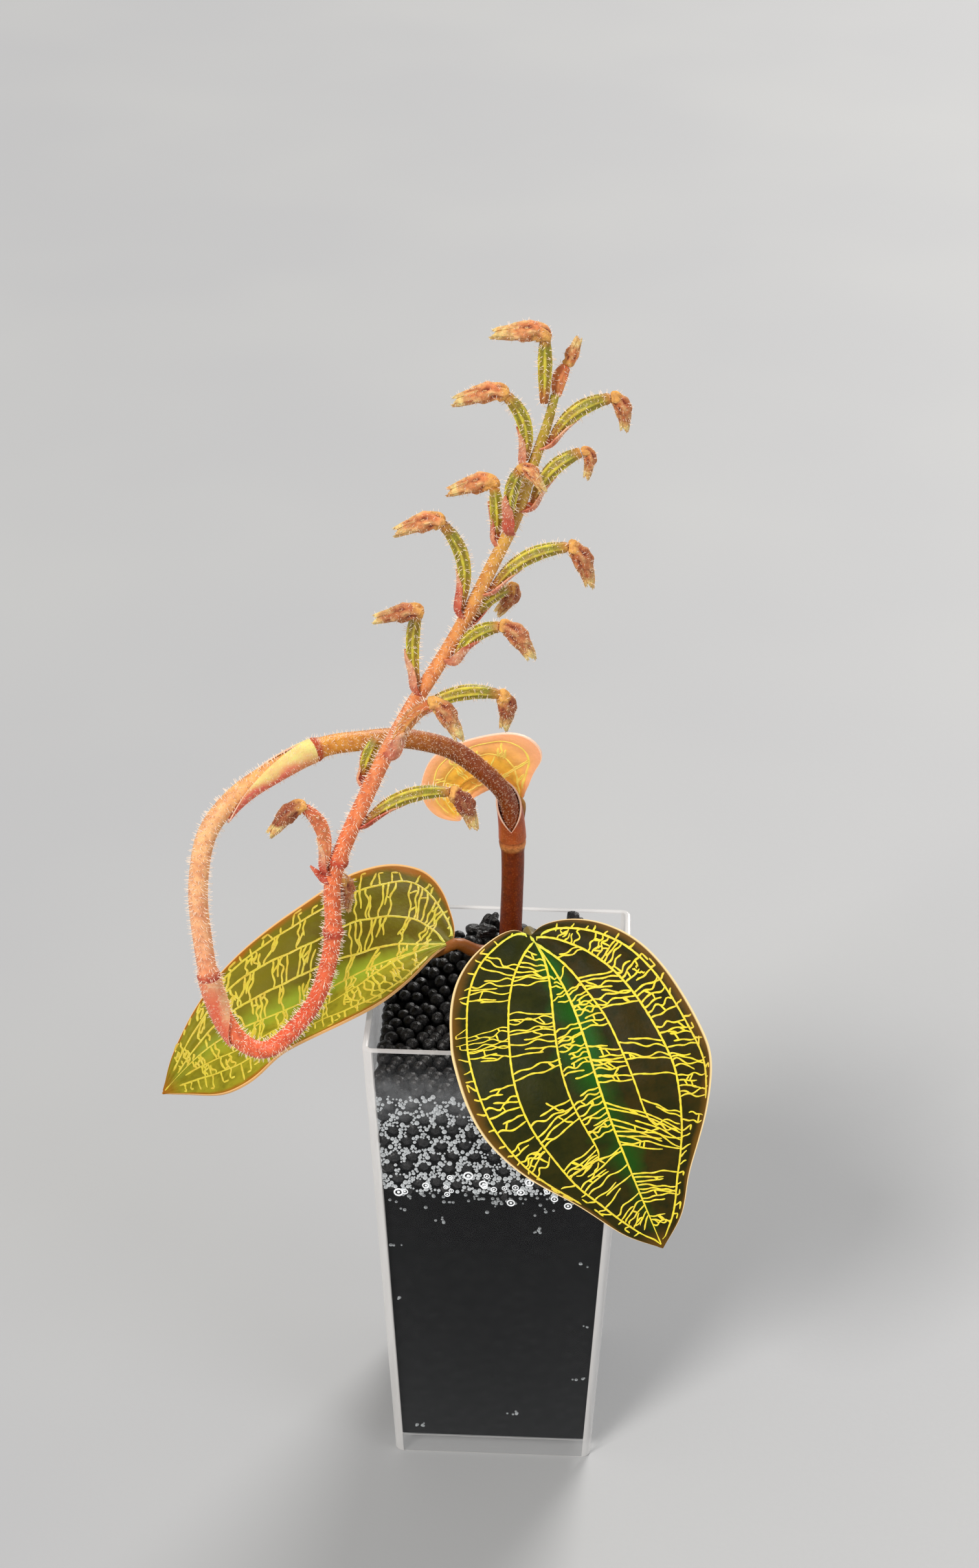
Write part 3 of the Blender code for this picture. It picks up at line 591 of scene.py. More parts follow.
def clear_plastic(name, least, most, colour):
    """Plastic that is clearest face-on: least and most are how solid it looks. Where it looks solid, its
    pale colour is painted light for the light the plastic gathers and reflects.
    """
    material, tree, shader = start_material(name, Roughness=0.05, IOR=1.49)
    shader.inputs["Base Color"].default_value = colour
    facing = add_node(tree, "ShaderNodeLayerWeight", {"Blend": 0.5}).outputs["Facing"]
    solid = spread(tree, maths(tree, "POWER", facing, 5.0), 0.0, 1.0, least, most)
    height = add_node(tree, "ShaderNodeSeparateXYZ", {0: object_coordinates(tree)}).outputs["Z"]
    low = spread(tree, height, MIST_LOW, MIST_LOW + 6 * MM)
    high = spread(tree, height, MIST_HIGH, MIST_HIGH - 8 * MM)
    cloud = spread(tree, noise(tree, 260.0, 4.0, 0.6), 0.35, 0.7, 0.02, 0.13)
    mist = maths(tree, "MULTIPLY", maths(tree, "MULTIPLY", low, high), cloud)
    tree.links.new(maths(tree, "ADD", solid, mist), shader.inputs["Alpha"])
    return material


# painted light: the wall turns pale where it is seen edge-on, and the edges are milky nearly all over
paint(cup, clear_plastic("clear_wall", 0.004, 0.9, seen(228, 232, 236)),
      clear_plastic("clear_edge_painted_light", 0.5, 0.98, seen(246, 244, 242)))
settle(cup, "clear_plastic", "pot")
print("mist from", MIST_LOW, "to", MIST_HIGH)

# %% [markdown]
# ## Black pellets and water
#
# The plant grows in black fired pellets about 3 mm across. They show through the rim as a heap of
# round grey-lit beads, and against the walls above the waterline as dark rounds where each one
# touches. Below the waterline everything is black and wet. A heap of a thousand loose beads all
# through would be wasted, because only the outer layer shows, so a dark core fills the middle and
# one bead, modelled once with few faces, is copied over its top and sides.

# %% The core and the water
FILL_LEVEL = 107.0 * MM
MOUND_RISE = 10.0 * MM
MOUND_SPREAD = 11.0 * MM
MOUND_CENTRE = np.array((0.0, 15.0)) * MM
WATER_LEVEL = 79.0 * MM
BEAD = 1.65 * MM
BEAD_PITCH = 3.1 * MM
CONTACT_PITCH = 4.3 * MM


def mound_height(x, y):
    away = (x - MOUND_CENTRE[0]) ** 2 + (y - MOUND_CENTRE[1]) ** 2
    return FILL_LEVEL + MOUND_RISE * np.exp(-away / (2 * MOUND_SPREAD ** 2))


def make_core():
    """A dark block under the beads, whose top follows the mound."""
    core = tapered_block("pellet_core", CUP_FLOOR + 0.3 * MM, FILL_LEVEL, CUP_WALL + BEAD)
    edit(core)
    select_where(core, "faces", lambda face: face.normal.z > 0.9)
    bpy.ops.mesh.subdivide(number_cuts=15)
    leave_edit()
    places = points_of(core)
    top = places[:, 2] > FILL_LEVEL - 0.01 * MM
    places[top, 2] = mound_height(places[top, 0], places[top, 1]) - 1.1 * MM
    move_points(core, places)
    shade_round(core, 60)
    return core


def make_water():
    """The wet zone: pellets and water look like one black block behind the wall."""
    water = tapered_block("wet_zone", CUP_FLOOR + 0.1 * MM, WATER_LEVEL, CUP_WALL + 0.12 * MM)
    apply_modifier(water, "BEVEL", width=0.8 * MM, segments=3, limit_method="ANGLE",
                   angle_limit=math.radians(60))
    shade_round(water, 40)
    return water


core = make_core()
water = make_water()
print("core points:", len(core.data.vertices))

# %% One bead, copied over the top and the sides
STEM_FOOT = Vector((1.5, 12.0, 98.0)) * MM
STEM_TOP = Vector((1.8, 12.0, 144.0)) * MM
STEM_RADIUS = 2.4 * MM


def make_bead():
    """A fired pellet: a small ball with its poles tucked in, and not quite round."""
    clear_selection()
    bpy.ops.mesh.primitive_uv_sphere_add(segments=8, ring_count=6, radius=1)
    bead = bpy.context.object
    bead.name = "bead"
    edit(bead)
    select_where(bead, "verts", lambda vert: abs(vert.co.z) > 0.8)
    bpy.ops.transform.resize(value=(1.1, 1.0, 0.94), center_override=(0, 0, 0))
    leave_edit()
    return bead


def strewn(name, shape, places, turns, sizes):
    """One mesh that holds a copy of the shape at each place, turned and sized."""
    clear_selection()
    shape_points = points_of(shape)
    corners = [list(face.vertices) for face in shape.data.polygons]
    count = len(shape_points)
    moved = np.einsum("nij,vj->nvi", turns, shape_points) * np.asarray(sizes).reshape(-1, 1, 1)
    moved += np.asarray(places)[:, None, :]
    faces = [[corner + copy * count for corner in face] for copy in range(len(places)) for face in corners]
    mesh = bpy.data.meshes.new(name)
    mesh.from_pydata(moved.reshape(-1, 3), [], faces)
    mesh.shade_smooth()
    piece = bpy.data.objects.new(name, mesh)
    bpy.context.scene.collection.objects.link(piece)
    return piece


def random_turns(count, draw):
    """Turns to any side, as matrices."""
    quats = unit(draw.normal(size=(count, 4)))
    w, x, y, z = quats.T
    rows = [1 - 2 * (y * y + z * z), 2 * (x * y - z * w), 2 * (x * z + y * w),
            2 * (x * y + z * w), 1 - 2 * (x * x + z * z), 2 * (y * z - x * w),
            2 * (x * z - y * w), 2 * (y * z + x * w), 1 - 2 * (x * x + y * y)]
    return np.column_stack(rows).reshape(-1, 3, 3)


def top_places(draw):
    """Places of the beads that make the visible top of the heap."""
    reach = cup_half(FILL_LEVEL) - CUP_WALL - BEAD
    row_pitch = BEAD_PITCH * math.sqrt(3) / 2
    places = []
    rows = int(reach / row_pitch)
    for row in range(-rows, rows + 1):
        shift = BEAD_PITCH / 2 if row % 2 else 0.0
        for column in np.arange(-reach + shift, reach, BEAD_PITCH):
            x, y = np.array((column, row * row_pitch)) + draw.uniform(-0.35, 0.35, 2) * MM
            near_stem = math.hypot(x - STEM_FOOT.x, y - STEM_FOOT.y) < STEM_RADIUS + BEAD * 0.8
            if not near_stem:
                places.append((x, y, mound_height(x, y) + draw.uniform(-0.9, 0.9) * MM))
    return np.array(places)


def on_wall(side, across, height, inside):
    """A place a little inside a wall: side 0 is the front, then right, back and left."""
    half = cup_half(height) - CUP_WALL - inside
    x, y = across, -half
    turn = side * math.pi / 2
    return np.column_stack([x * np.cos(turn) - y * np.sin(turn), x * np.sin(turn) + y * np.cos(turn),
                            height])


def wall_contacts(draw):
    """Where beads touch the walls: side, distance across and height."""
    contacts = []
    for side in range(4):
        height = WATER_LEVEL - 1 * MM
        row = 0
        while height < FILL_LEVEL + 0.5 * MM:
            reach = cup_half(height) - CUP_WALL - BEAD
            shift = CONTACT_PITCH * 0.5 * (row % 2)
            for across in np.arange(-reach + shift, reach + 0.1 * MM, CONTACT_PITCH):
                jitter = draw.uniform(-0.7, 0.7, 2) * MM
                contacts.append((side, np.clip(across + jitter[0], -reach, reach), height + jitter[1]))
            height += CONTACT_PITCH * 0.82
            row += 1
    return np.array(contacts)


draw = np.random.default_rng(11)
bead = make_bead()
top = top_places(draw)
contacts = wall_contacts(draw)
sides = np.vstack([on_wall(row[0], row[1:2], row[2:3], BEAD + draw.uniform(0.02, 0.35) * MM)
                   for row in contacts])
places = np.vstack([top, sides])
sizes = BEAD * draw.uniform(0.86, 1.02, len(places))
sizes[len(top):] *= 1.12
beads = strewn("pellets", bead, places, random_turns(len(places), draw), sizes)
print("beads on top:", len(top), "and against the walls:", len(sides))

# %% [markdown]
# Broken bits of the same black stuff lie round the stem's foot and by the back rim. A bead is
# subdivided once and pushed about by a coarse noise, which makes a jagged lump of it.

# %% Broken bits
# place in millimetres and size in millimetres of each bit
BITS = [((-4.5, 15.0, 120.2), 2.6), ((-2.2, 18.5, 120.4), 2.2), ((-7.0, 17.8, 118.6), 1.9),
        ((5.0, 16.0, 119.2), 1.8), ((-4.0, 19.5, 118.2), 2.0), ((11.0, 23.5, 114.2), 2.0),
        ((15.5, 24.2, 117.6), 1.9), ((17.2, 24.4, 116.0), 1.5), ((9.0, 19.0, 114.8), 1.8),
        ((1.5, 18.0, 121.0), 1.6)]


def make_bits(draw):
    lump = copy_of(bead, "lump")
    edit(lump)
    bpy.ops.mesh.select_all(action="SELECT")
    bpy.ops.mesh.subdivide(number_cuts=1)
    leave_edit()
    pieces = []
    for index, (place, size) in enumerate(BITS):
        bit = copy_of(lump, "bit_%d" % index)
        local = points_of(bit)
        wave = np.sin(local @ draw.uniform(-3.5, 3.5, (3, 5)) + draw.uniform(0, 6, 5)).mean(axis=1)
        local *= (1 + 0.95 * wave)[:, None] * draw.uniform(0.6, 1.2, 3)
        move_points(bit, local * size * MM + np.array(place) * MM)
        pieces.append(bit)
    discard(lump)
    clear_selection()
    for bit in pieces:
        bit.select_set(True)
    bpy.context.view_layer.objects.active = pieces[0]
    bpy.ops.object.join()
    pieces[0].name = "broken_bits"
    return pieces[0]


bits = make_bits(draw)
discard(bead)
print("bits:", len(BITS))

# %% Black finishes
def pellet_finish():
    material, tree, shader = start_material("fired_pellet", Specular_IOR_Level=0.45)
    tone = blotches(tree, seen(20, 20, 21), seen(38, 37, 37), seen(84, 82, 80), 420.0, 0.5, 0.25)
    tree.links.new(tone, shader.inputs["Base Color"])
    add_grain(tree, shader, 1300.0, 0.4, 0.6, 0.0004, 0.8)
    return material


def wet_finish():
    """Wet black pellets, of which hardly more than a dull relief can be seen. Each cell is darker towards
    its edge, a painted shade in the gaps between the pellets.
    """
    material, tree, shader = start_material("wet_pellets", Specular_IOR_Level=0.08)
    cells = add_node(tree, "ShaderNodeTexVoronoi", {"Vector": object_coordinates(tree), "Scale": 360.0},
                     feature="SMOOTH_F1").outputs["Distance"]
    # painted shade: darker towards the edge of each cell, where the pellets meet
    tone = mix(tree, spread(tree, cells, 0.25, 0.6), seen(7, 7, 8), seen(2, 2, 3))
    tree.links.new(tone, shader.inputs["Base Color"])
    bump = add_node(tree, "ShaderNodeBump", {"Height": cells, "Distance": 0.0008, "Strength": 0.5},
                    invert=True)
    tree.links.new(bump.outputs["Normal"], shader.inputs["Normal"])
    shader.inputs["Roughness"].default_value = 0.5
    return material


pellet_black = pellet_finish()
wet_black = wet_finish()
# The core takes the wet finish, darker than the beads. It stands for more black pellets, and between the
# top beads it is painted shade as well.
for piece, material in ((core, wet_black), (water, wet_black), (beads, pellet_black), (bits, pellet_black)):
    paint(piece, material)
settle(core, "black_pellets", "substrate")
for piece in (water, beads, bits):
    settle(piece, "black_pellets")
print("black finishes:", pellet_black.name, wet_black.name)

# %% [markdown]
# ## Droplets and bubbles on the inside of the cup
#
# Above the waterline the inside of the wall is covered with fine droplets, except where a bead touches it,
# so the drops draw a bright net round dark rounds. Larger bubbles sit along the waterline, and a few
# clusters are caught below it. Drops could be bumps in the plastic, but real domes catch the light as drops
# do. Their white colour and a faint glow are painted highlights on top of that. One dome is modelled from
# half a ball, and copied.

# %% Droplets
DROP_LOW = 79 * MM
DROP_FULL = 96 * MM
DROP_HIGH = 106 * MM
CONTACT_RADIUS = 1.6 * MM


def make_dome():
    """Half a low ball that stands on the wall and bulges to -Y."""
    clear_selection()
    bpy.ops.mesh.primitive_uv_sphere_add(segments=8, ring_count=6, radius=1)
    dome = bpy.context.object
    dome.name = "dome"
    edit(dome)
    bpy.ops.mesh.select_all(action="SELECT")
    bpy.ops.mesh.bisect(plane_co=(0, 0, -0.05), plane_no=(0, 0, 1), clear_inner=True, use_fill=True)
    leave_edit()
    return dome


def drop_sites(contacts, draw, tries):
    """Free places on the wall for drops, none on a contact or on another drop."""
    kept = []
    for side in range(4):
        touch = contacts[contacts[:, 0] == side][:, 1:]
        cells = {}
        for _ in range(tries):
            height = draw.uniform(DROP_LOW, DROP_HIGH)
            if draw.uniform() > 1.15 - (height - DROP_FULL) / (DROP_HIGH - DROP_FULL):
                continue
            reach = cup_half(height) - CUP_WALL - 0.9 * MM
            across = draw.uniform(-reach, reach)
            if np.min((touch[:, 0] - across) ** 2 + (touch[:, 1] - height) ** 2) < CONTACT_RADIUS ** 2:
                continue
            radius = draw.choice([0.22, 0.3, 0.38, 0.46, 0.56]) * MM
            cell = (int(across / MM), int(height / MM))
            near = [drop for i in (-1, 0, 1) for j in (-1, 0, 1)
                    for drop in cells.get((cell[0] + i, cell[1] + j), ())]
            if all((across - a) ** 2 + (height - h) ** 2 > 0.8 * (radius + r) ** 2 for a, h, r in near):
                cells.setdefault(cell, []).append((across, height, radius))
                kept.append((side, across, height, radius))
    return np.array(kept)


def wall_turn(side):
    """Turn that stands a dome, made to bulge along +Z, on a side's inner wall."""
    turn = Matrix.Rotation(side * math.pi / 2, 3, "Z") @ Matrix.Rotation(math.radians(-90), 3, "X")
    return np.array(turn)


def stand_on_wall(name, shape, sites, inside):
    """Copies of a shape at the sites, which are rows of side, across, height and size."""
    where = np.vstack([on_wall(row[0], row[1:2], row[2:3], inside) for row in sites])
    turns = np.array([wall_turn(int(row[0])) for row in sites])
    return strewn(name, shape, where, turns, sites[:, 3])


dome = make_dome()
sites = drop_sites(contacts, draw, 15000)
droplets = [stand_on_wall("droplets_" + wall, dome, sites[sites[:, 0] == side], 0.02 * MM)
            for side, wall in enumerate(("front", "right", "back", "left"))]
print("droplets:", len(sites))

# %% Bubbles at the waterline and caught below it
# on the front wall, clusters below the waterline: across and height in millimetres, bubbles
CLUSTERS = [(-11.5, 71.0, 5), (1.0, 77.0, 7), (9.5, 68.5, 6), (-21.5, 63.0, 3), (-21.0, 47.0, 3),
            (20.0, 40.0, 3), (19.5, 24.0, 4), (5.0, 12.0, 6), (-16.5, 7.5, 6), (20.0, 59.0, 3)]
RING_BUBBLES_A_SIDE = 22


def make_ring():
    """A round bubble drawn as painted highlights: a bright ring for its rim and a small ball for the glint
    in its middle.
    """
    clear_selection()
    bpy.ops.mesh.primitive_torus_add(major_segments=14, minor_segments=5, major_radius=0.82,
                                     minor_radius=0.18)
    ring = bpy.context.object
    bpy.ops.mesh.primitive_uv_sphere_add(segments=6, ring_count=4, radius=0.34)
    glint = bpy.context.object
    glint.scale = (1.0, 1.0, 0.6)
    glint.select_set(True)
    ring.select_set(True)
    bpy.context.view_layer.objects.active = ring
    bpy.ops.object.transform_apply(location=False, rotation=False, scale=True)
    bpy.ops.object.join()
    ring.name = "ring"
    return ring


def bubble_sites(draw):
    rings, small = [], []
    for side in range(4):
        for _ in range(RING_BUBBLES_A_SIDE):
            height = WATER_LEVEL + draw.uniform(-3.5, 5.0) * MM
            across = draw.uniform(-0.9, 0.9) * (cup_half(height) - CUP_WALL - 1 * MM)
            rings.append((side, across, height, draw.uniform(0.55, 1.15) * MM))
        for across, height, count in CLUSTERS:
            turned = across if side % 2 == 0 else -across * 0.8
            for _ in range(count):
                small.append((side, (turned + draw.normal() * 0.8) * MM,
                              (height + draw.normal() * 0.45) * MM, draw.uniform(0.2, 0.42) * MM))
        for _ in range(70):
            height = WATER_LEVEL + abs(draw.normal()) * -2.2 * MM
            across = draw.uniform(-0.94, 0.94) * (cup_half(height) - CUP_WALL - 0.5 * MM)
            small.append((side, across, height, draw.uniform(0.2, 0.45) * MM))
    return np.array(rings), np.array(small)


ring_shape = make_ring()
rings, small = bubble_sites(draw)
bubbles = stand_on_wall("ring_bubbles", ring_shape, rings, 0.02 * MM)
caught = stand_on_wall("small_bubbles", dome, small, 0.02 * MM)
discard(dome)
discard(ring_shape)


def drop_finish(name, colour, alpha, light):
    """Water on the wall: a glossy bead that lets some of the dark behind it show. Its white colour and its
    glow, set by light, are a painted highlight for the light it catches.
    """
    material, tree, shader = start_material(name, Roughness=0.08, IOR=1.33)
    shader.inputs["Base Color"].default_value = colour
    facing = add_node(tree, "ShaderNodeLayerWeight", {"Blend": 0.4}).outputs["Facing"]
    tree.links.new(spread(tree, facing, 0.05, 0.6, alpha, 0.95), shader.inputs["Alpha"])
    # painted highlight: the drop glows in its own white colour
    shader.inputs["Emission Color"].default_value = colour
    shader.inputs["Emission Strength"].default_value = light
    return material


droplet_finish = drop_finish("droplet_water", seen(232, 236, 238), 0.3, 0.16)
for piece in droplets:
    paint(piece, droplet_finish)
paint(caught, drop_finish("bubble_film", seen(205, 210, 212), 0.25, 0.06))
# painted highlight: the ring and the ball in its middle are white and glow
paint(bubbles, drop_finish("bubble_rim_painted_highlight", seen(244, 246, 248), 0.9, 0.25))
for piece in (*droplets, caught, bubbles):
    settle(piece, "clear_plastic")
print("ring bubbles:", len(rings), "small bubbles:", len(small))

# %% [markdown]
# ## The flower spike
#
# The hairy stalk comes out of a sheath on the stem, arches over to the left, loops down to just
# above the rim and rises to the right. Two papery sheaths clasp it, each from a ring on the
# stalk, a third ring is bare and the lowest flower grows from the last. A stalk could be swept
# as a curve, but a straight tube, laid along the route afterwards, keeps a clean even grid and
# knows how far along it each point is, which the colours need.

# %% The stalk
SPIKE_ROUTE = [
    (1.5, 12.0, 147.5), (0.5, 10.0, 158.0), (-4.5, 7.5, 166.0), (-10.5, 4.0, 173.0),
    (-16.5, -1.0, 178.0), (-23.0, -6.0, 181.5), (-28.5, -10.0, 183.0), (-35.0, -14.0, 184.0),
    (-45.0, -20.0, 181.5), (-50.5, -23.0, 179.0), (-55.0, -26.0, 175.5), (-58.0, -28.0, 171.0),
    (-59.5, -30.0, 164.5), (-60.0, -31.0, 158.0), (-59.5, -32.0, 149.5), (-58.5, -33.0, 141.0),
    (-56.5, -33.5, 132.5), (-54.0, -34.0, 127.0), (-51.0, -34.0, 123.5), (-47.5, -34.0, 122.5),
    (-44.0, -33.5, 124.5), (-40.5, -33.0, 128.5), (-37.0, -32.5, 134.0), (-34.5, -31.5, 141.0),
    (-33.0, -30.0, 151.0), (-33.0, -29.0, 161.0), (-31.0, -28.5, 168.5), (-27.0, -27.5, 178.5),
    (-22.0, -26.0, 190.0), (-16.0, -25.0, 202.0), (-10.5, -24.0, 211.5), (-5.0, -23.0, 222.5),
    (-1.0, -22.5, 231.5), (3.0, -22.0, 241.0), (5.5, -21.5, 250.0), (8.0, -21.0, 258.0),
    (9.5, -21.0, 264.5),
]
# distance along the route in millimetres, radius there in millimetres
SPIKE_RADII = [
    (0, 1.95), (14, 1.95), (24, 2.05), (70, 2.05), (125, 1.95), (160, 1.75), (200, 1.7),
    (225, 1.55), (255, 1.4), (285, 1.15), (306, 0.8),
]
SPIKE_START = 1.2
# where the stalk has its rings, in millimetres along it
SPIKE_RINGS = [66, 126, 181, 197.5]


def spike_radius(distance):
    """The stalk's radius at distances along it in millimetres, with its rings."""
    radius = np.interp(distance, *zip(*SPIKE_RADII))
    for start in SPIKE_RINGS:
        radius = radius + 0.55 * np.exp(-((distance - start) / 0.9) ** 2)
    return radius * MM


spike_route = Route(SPIKE_ROUTE, count=800)
SPIKE_LENGTH = spike_route.length / MM


def spike_width(share):
    return spike_radius(share * SPIKE_LENGTH)


spike = straight_tube("flower_stalk", 16, (18, 18))
lay_along(spike, spike_route, spike_width, SPIKE_START / SPIKE_LENGTH, 1.0)
shade_round(spike, 60)
print("stalk length", round(SPIKE_LENGTH, 1), "mm, faces", len(spike.data.polygons))

# %% [markdown]
# A sheath is a leaf that never spread out: it clasps the stalk, opens along one side and ends in a
# point on the other. An open tube is laid along the stalk, its far edge is drawn back round the
# opening, and a thickness is given to it, with a pale rim.

# %% Sheaths
def make_sheath(name, route, start, end, radii, opening, tip_angle, flare, wall=0.3 * MM, blunt=1.1):
    """An open tube round a route, whose far edge falls from its tip to the opening opposite.

    start, end and the two radii are in millimetres, opening is the share of its length that is open.
    """
    sheath = straight_tube(name, 28, (13,), ends="NOTHING")
    local = points_of(sheath)
    angle = np.arctan2(local[:, 1], local[:, 0])
    away = np.abs((angle - tip_angle + math.pi) % math.tau - math.pi) / math.pi
    rise = local[:, 2]
    local[:, 2] = rise * (1 - opening * away ** blunt)
    swell = 1 + flare * rise ** 2 * away
    local[:, :2] *= swell[:, None]
    move_points(sheath, local)
    ends = (start / route.length * MM, end / route.length * MM)
    lay_along(sheath, route, lambda share: np.interp(share, ends, radii) * MM, *ends)
    add_attribute(sheath, "rise", rise)
    add_attribute(sheath, "away", away)
    sheath.data.materials.append(None)
    sheath.data.materials.append(None)
    apply_modifier(sheath, "SOLIDIFY", thickness=wall, offset=0.0, material_offset_rim=1)
    shade_round(sheath, 60)
    return sheath


sheaths = [
    make_sheath("long_sheath", spike_route, 66.6, 90, (2.4, 2.45), 0.92, 0.0, 0.04, blunt=1.6),
    make_sheath("loop_sheath", spike_route, 126.6, 142.5, (2.25, 2.3), 0.75, math.radians(150), 0.15),
]
print("sheaths:", len(sheaths))

# %% [markdown]
# ## The stem
#
# The stem stands upright in the pellets, brown-red and finely speckled, with a paler ring where
# its last leaf was. Above the ring it widens into an open sheath with a slanting pale rim, and the
# flower stalk comes out of that.

# %% Stem and its sheath
# height above the foot and radius there, in millimetres
STEM_PROFILE = [(0, 2.4), (12, 2.38), (24, 2.45), (36, 2.4), (45.6, 2.5), (46.9, 2.7), (47.7, 3.05),
                (48.6, 2.8), (50.6, 2.5)]
stem_route = Route([(1.5, 12, 98), (1.4, 12, 110), (1.7, 12.05, 128), (1.8, 12, 144),
                    (1.6, 12, 148.6)], hint=(0.0, -1.0, 0.02))


def stem_width(share):
    return np.interp(share * stem_route.length / MM, *zip(*STEM_PROFILE)) * MM


stem = straight_tube("stem_body", 24, (59,))
lay_along(stem, stem_route, stem_width)
shade_round(stem, 60)
sheath_route = Route([(1.75, 12, 142.8), (1.7, 12, 147.5), (1.3, 11.3, 153), (0.5, 10.1, 158),
                      (-1.0, 9.1, 162.2)], hint=(0.0, -1.0, 0.02))
stem_sheath = make_sheath("stem_sheath", sheath_route, 4.2, 19.2, (2.78, 2.35), 0.78,
                          math.radians(-90), 0.04, 0.4 * MM)
print("stem faces:", len(stem.data.polygons) + len(stem_sheath.data.polygons))

# %% [markdown]
# ## Seed capsules, bracts and withered flowers
#
# Each spent flower has left a ribbed seed capsule that arches out of a small pointed bract, with
# the shrivelled flower still hanging at its head. Modelling each would be slow and they would not
# look related. One of each is modelled straight and one unit long, then copied and laid along the
# curve of its place on the stalk.

# %% Where each flower goes
GAP = 0.3 * MM
CAPSULE_BASE = 0.9 * MM
CAPSULE_ARCH = 0.13
BRACT_LENGTHS = {"08": 7.6, "15": 4.6, "16": 9.0}
BRACT_CLEAR = 1.15 * MM
BLOOM_NECK = 2.8 * MM
BLOOM_FULL_LENGTH = 8.0 * MM
NO_BRACT = ("01", "02")
# distance along the stalk in millimetres, then the offsets from there to the capsule's head, and
# from the head to the tip of the withered flower
FLOWERS = {
    "01": (305, (-2, -1, 11.5), (-8.5, -1, 1)),
    "02": (304.5, (1.9, 3.2, 4.8), (2.0, 0.8, 5.0)),
    "03": (292, (-5.5, -1, 12.7), (-8.7, -1.5, -0.6)),
    "04": (297, (12, 2, 6.5), (3, 1, -6)),
    "05": (284, (10.5, 1.5, 8.5), (1.5, 0.5, -5)),
    "06": (279, (1, -4.8, 12.4), (4.2, -3, -2)),
    "07": (275, (-2.5, 2.5, 8.7), (-8, 1, -1.2)),
    "08": (259, (-5.5, -1.5, 18), (-8, -1.5, -1)),
    "09": (265, (15.5, 2, 6.5), (4.5, 0.5, -7.5)),
    "10": (257, (7.5, 6.5, 2.5), (-1.5, 3, -6.5)),
    "11": (249.5, (9.8, -3.5, 6.5), (6, -1.5, -5)),
    "12": (240.5, (-1.5, -2, 16.2), (-7.3, -1, -0.8)),
    "13": (235, (16.5, 3.5, 1), (1.5, 1, -7.5)),
    "14": (226, (8, -6.5, 12.5), (5.5, -2, -5.5)),
    "15": (217, (0.6, 3.1, 7.6), None),
    "16": (208.5, (18, 2.5, 4.5), (5, 1, -8)),
    "17": (197, (-6, -3, 14.5), (-6, -2, -4.5)),
    "19": (192, None, (1.5, 3.5, -8.5)),
}
# how red a capsule or a dry flower is, where it isn't plain
CAPSULE_BLUSH = {"02": 0.9, "14": 0.75, "17": 1.0}
FLOWER_DARK = {"04": 0.3, "05": 0.3, "09": 0.5, "10": 0.6, "11": 0.5, "12": 0.5, "13": 0.8, "14": 0.4,
               "16": 1.0, "17": 0.85, "19": 0.5}
EMPTY_BRACT_ALONG = 193.0
EMPTY_BRACT_REACH = Vector((-4.2, -1.0, 3.5)) * MM


def flower_frame(distance, reach):
    """The stalk's axis there, its heading, the way to the flower, and straight out of the stalk."""
    place, heading, _, _ = spike_route.frame(distance / SPIKE_LENGTH)
    heading = Vector(heading[0])
    toward = reach.normalized()
    out = (toward - heading * toward.dot(heading)).normalized()
    return Vector(place[0]), heading, toward, out


def capsule_path(distance, head_offset):
    """Start, middle and head of a capsule."""
    place, heading, toward, out = flower_frame(distance, head_offset)
    lean = abs(toward.dot(heading))
    radius = np.interp(distance, *zip(*SPIKE_RADII)) * MM
    start = place + out * (radius + GAP * 1.3 + CAPSULE_BASE * lean)
    head = place + head_offset
    line = head - start
    rise = Vector((0, 0, 1)) - line.normalized() * line.normalized().z
    arch = CAPSULE_ARCH * min(1.0, (1 - lean) / 0.18)
    return start, (start + head) / 2 + rise.normalized() * line.length * arch, head


def quadratic(start, middle, end, share):
    control = 2 * middle - (start + end) / 2
    return start * (1 - share) ** 2 + control * 2 * share * (1 - share) + end * share ** 2


def quadratic_route(start, middle, end, hint, count=60):
    line = [quadratic(start, middle, end, share) / MM for share in np.linspace(0, 1, 9)]
    return Route([tuple(place) for place in line], hint, count)


print("flowers:", len(FLOWERS))

# %% The capsule, modelled straight
CAPSULE_PROFILE = [(0.0, 0.72), (0.06, 0.95), (0.14, 1.06), (0.35, 1.4), (0.62, 1.56), (0.84, 1.32),
                   (0.93, 1.05), (0.965, 1.16), (1.0, 0.92)]
CAPSULE_RIBS = 6


def make_capsule_unit():
    """Six ribs run from the foot to a ring at the head, where the flower was."""
    unit_piece = straight_tube("capsule_unit", 36, (21,))
    local = points_of(unit_piece)
    angle = np.arctan2(local[:, 1], local[:, 0])
    crest = (0.5 - 0.5 * np.cos(CAPSULE_RIBS * angle)) ** 1.6
    belly = np.sin(np.clip(local[:, 2], 0, 1) * math.pi) ** 0.5
    radius = np.interp(local[:, 2], *zip(*CAPSULE_PROFILE)) * (1 - 0.2 * belly * (1 - crest))
    local[:, :2] = np.column_stack([np.cos(angle), np.sin(angle)]) * radius[:, None]
    move_points(unit_piece, local)
    add_attribute(unit_piece, "rib", crest * belly)
    return unit_piece


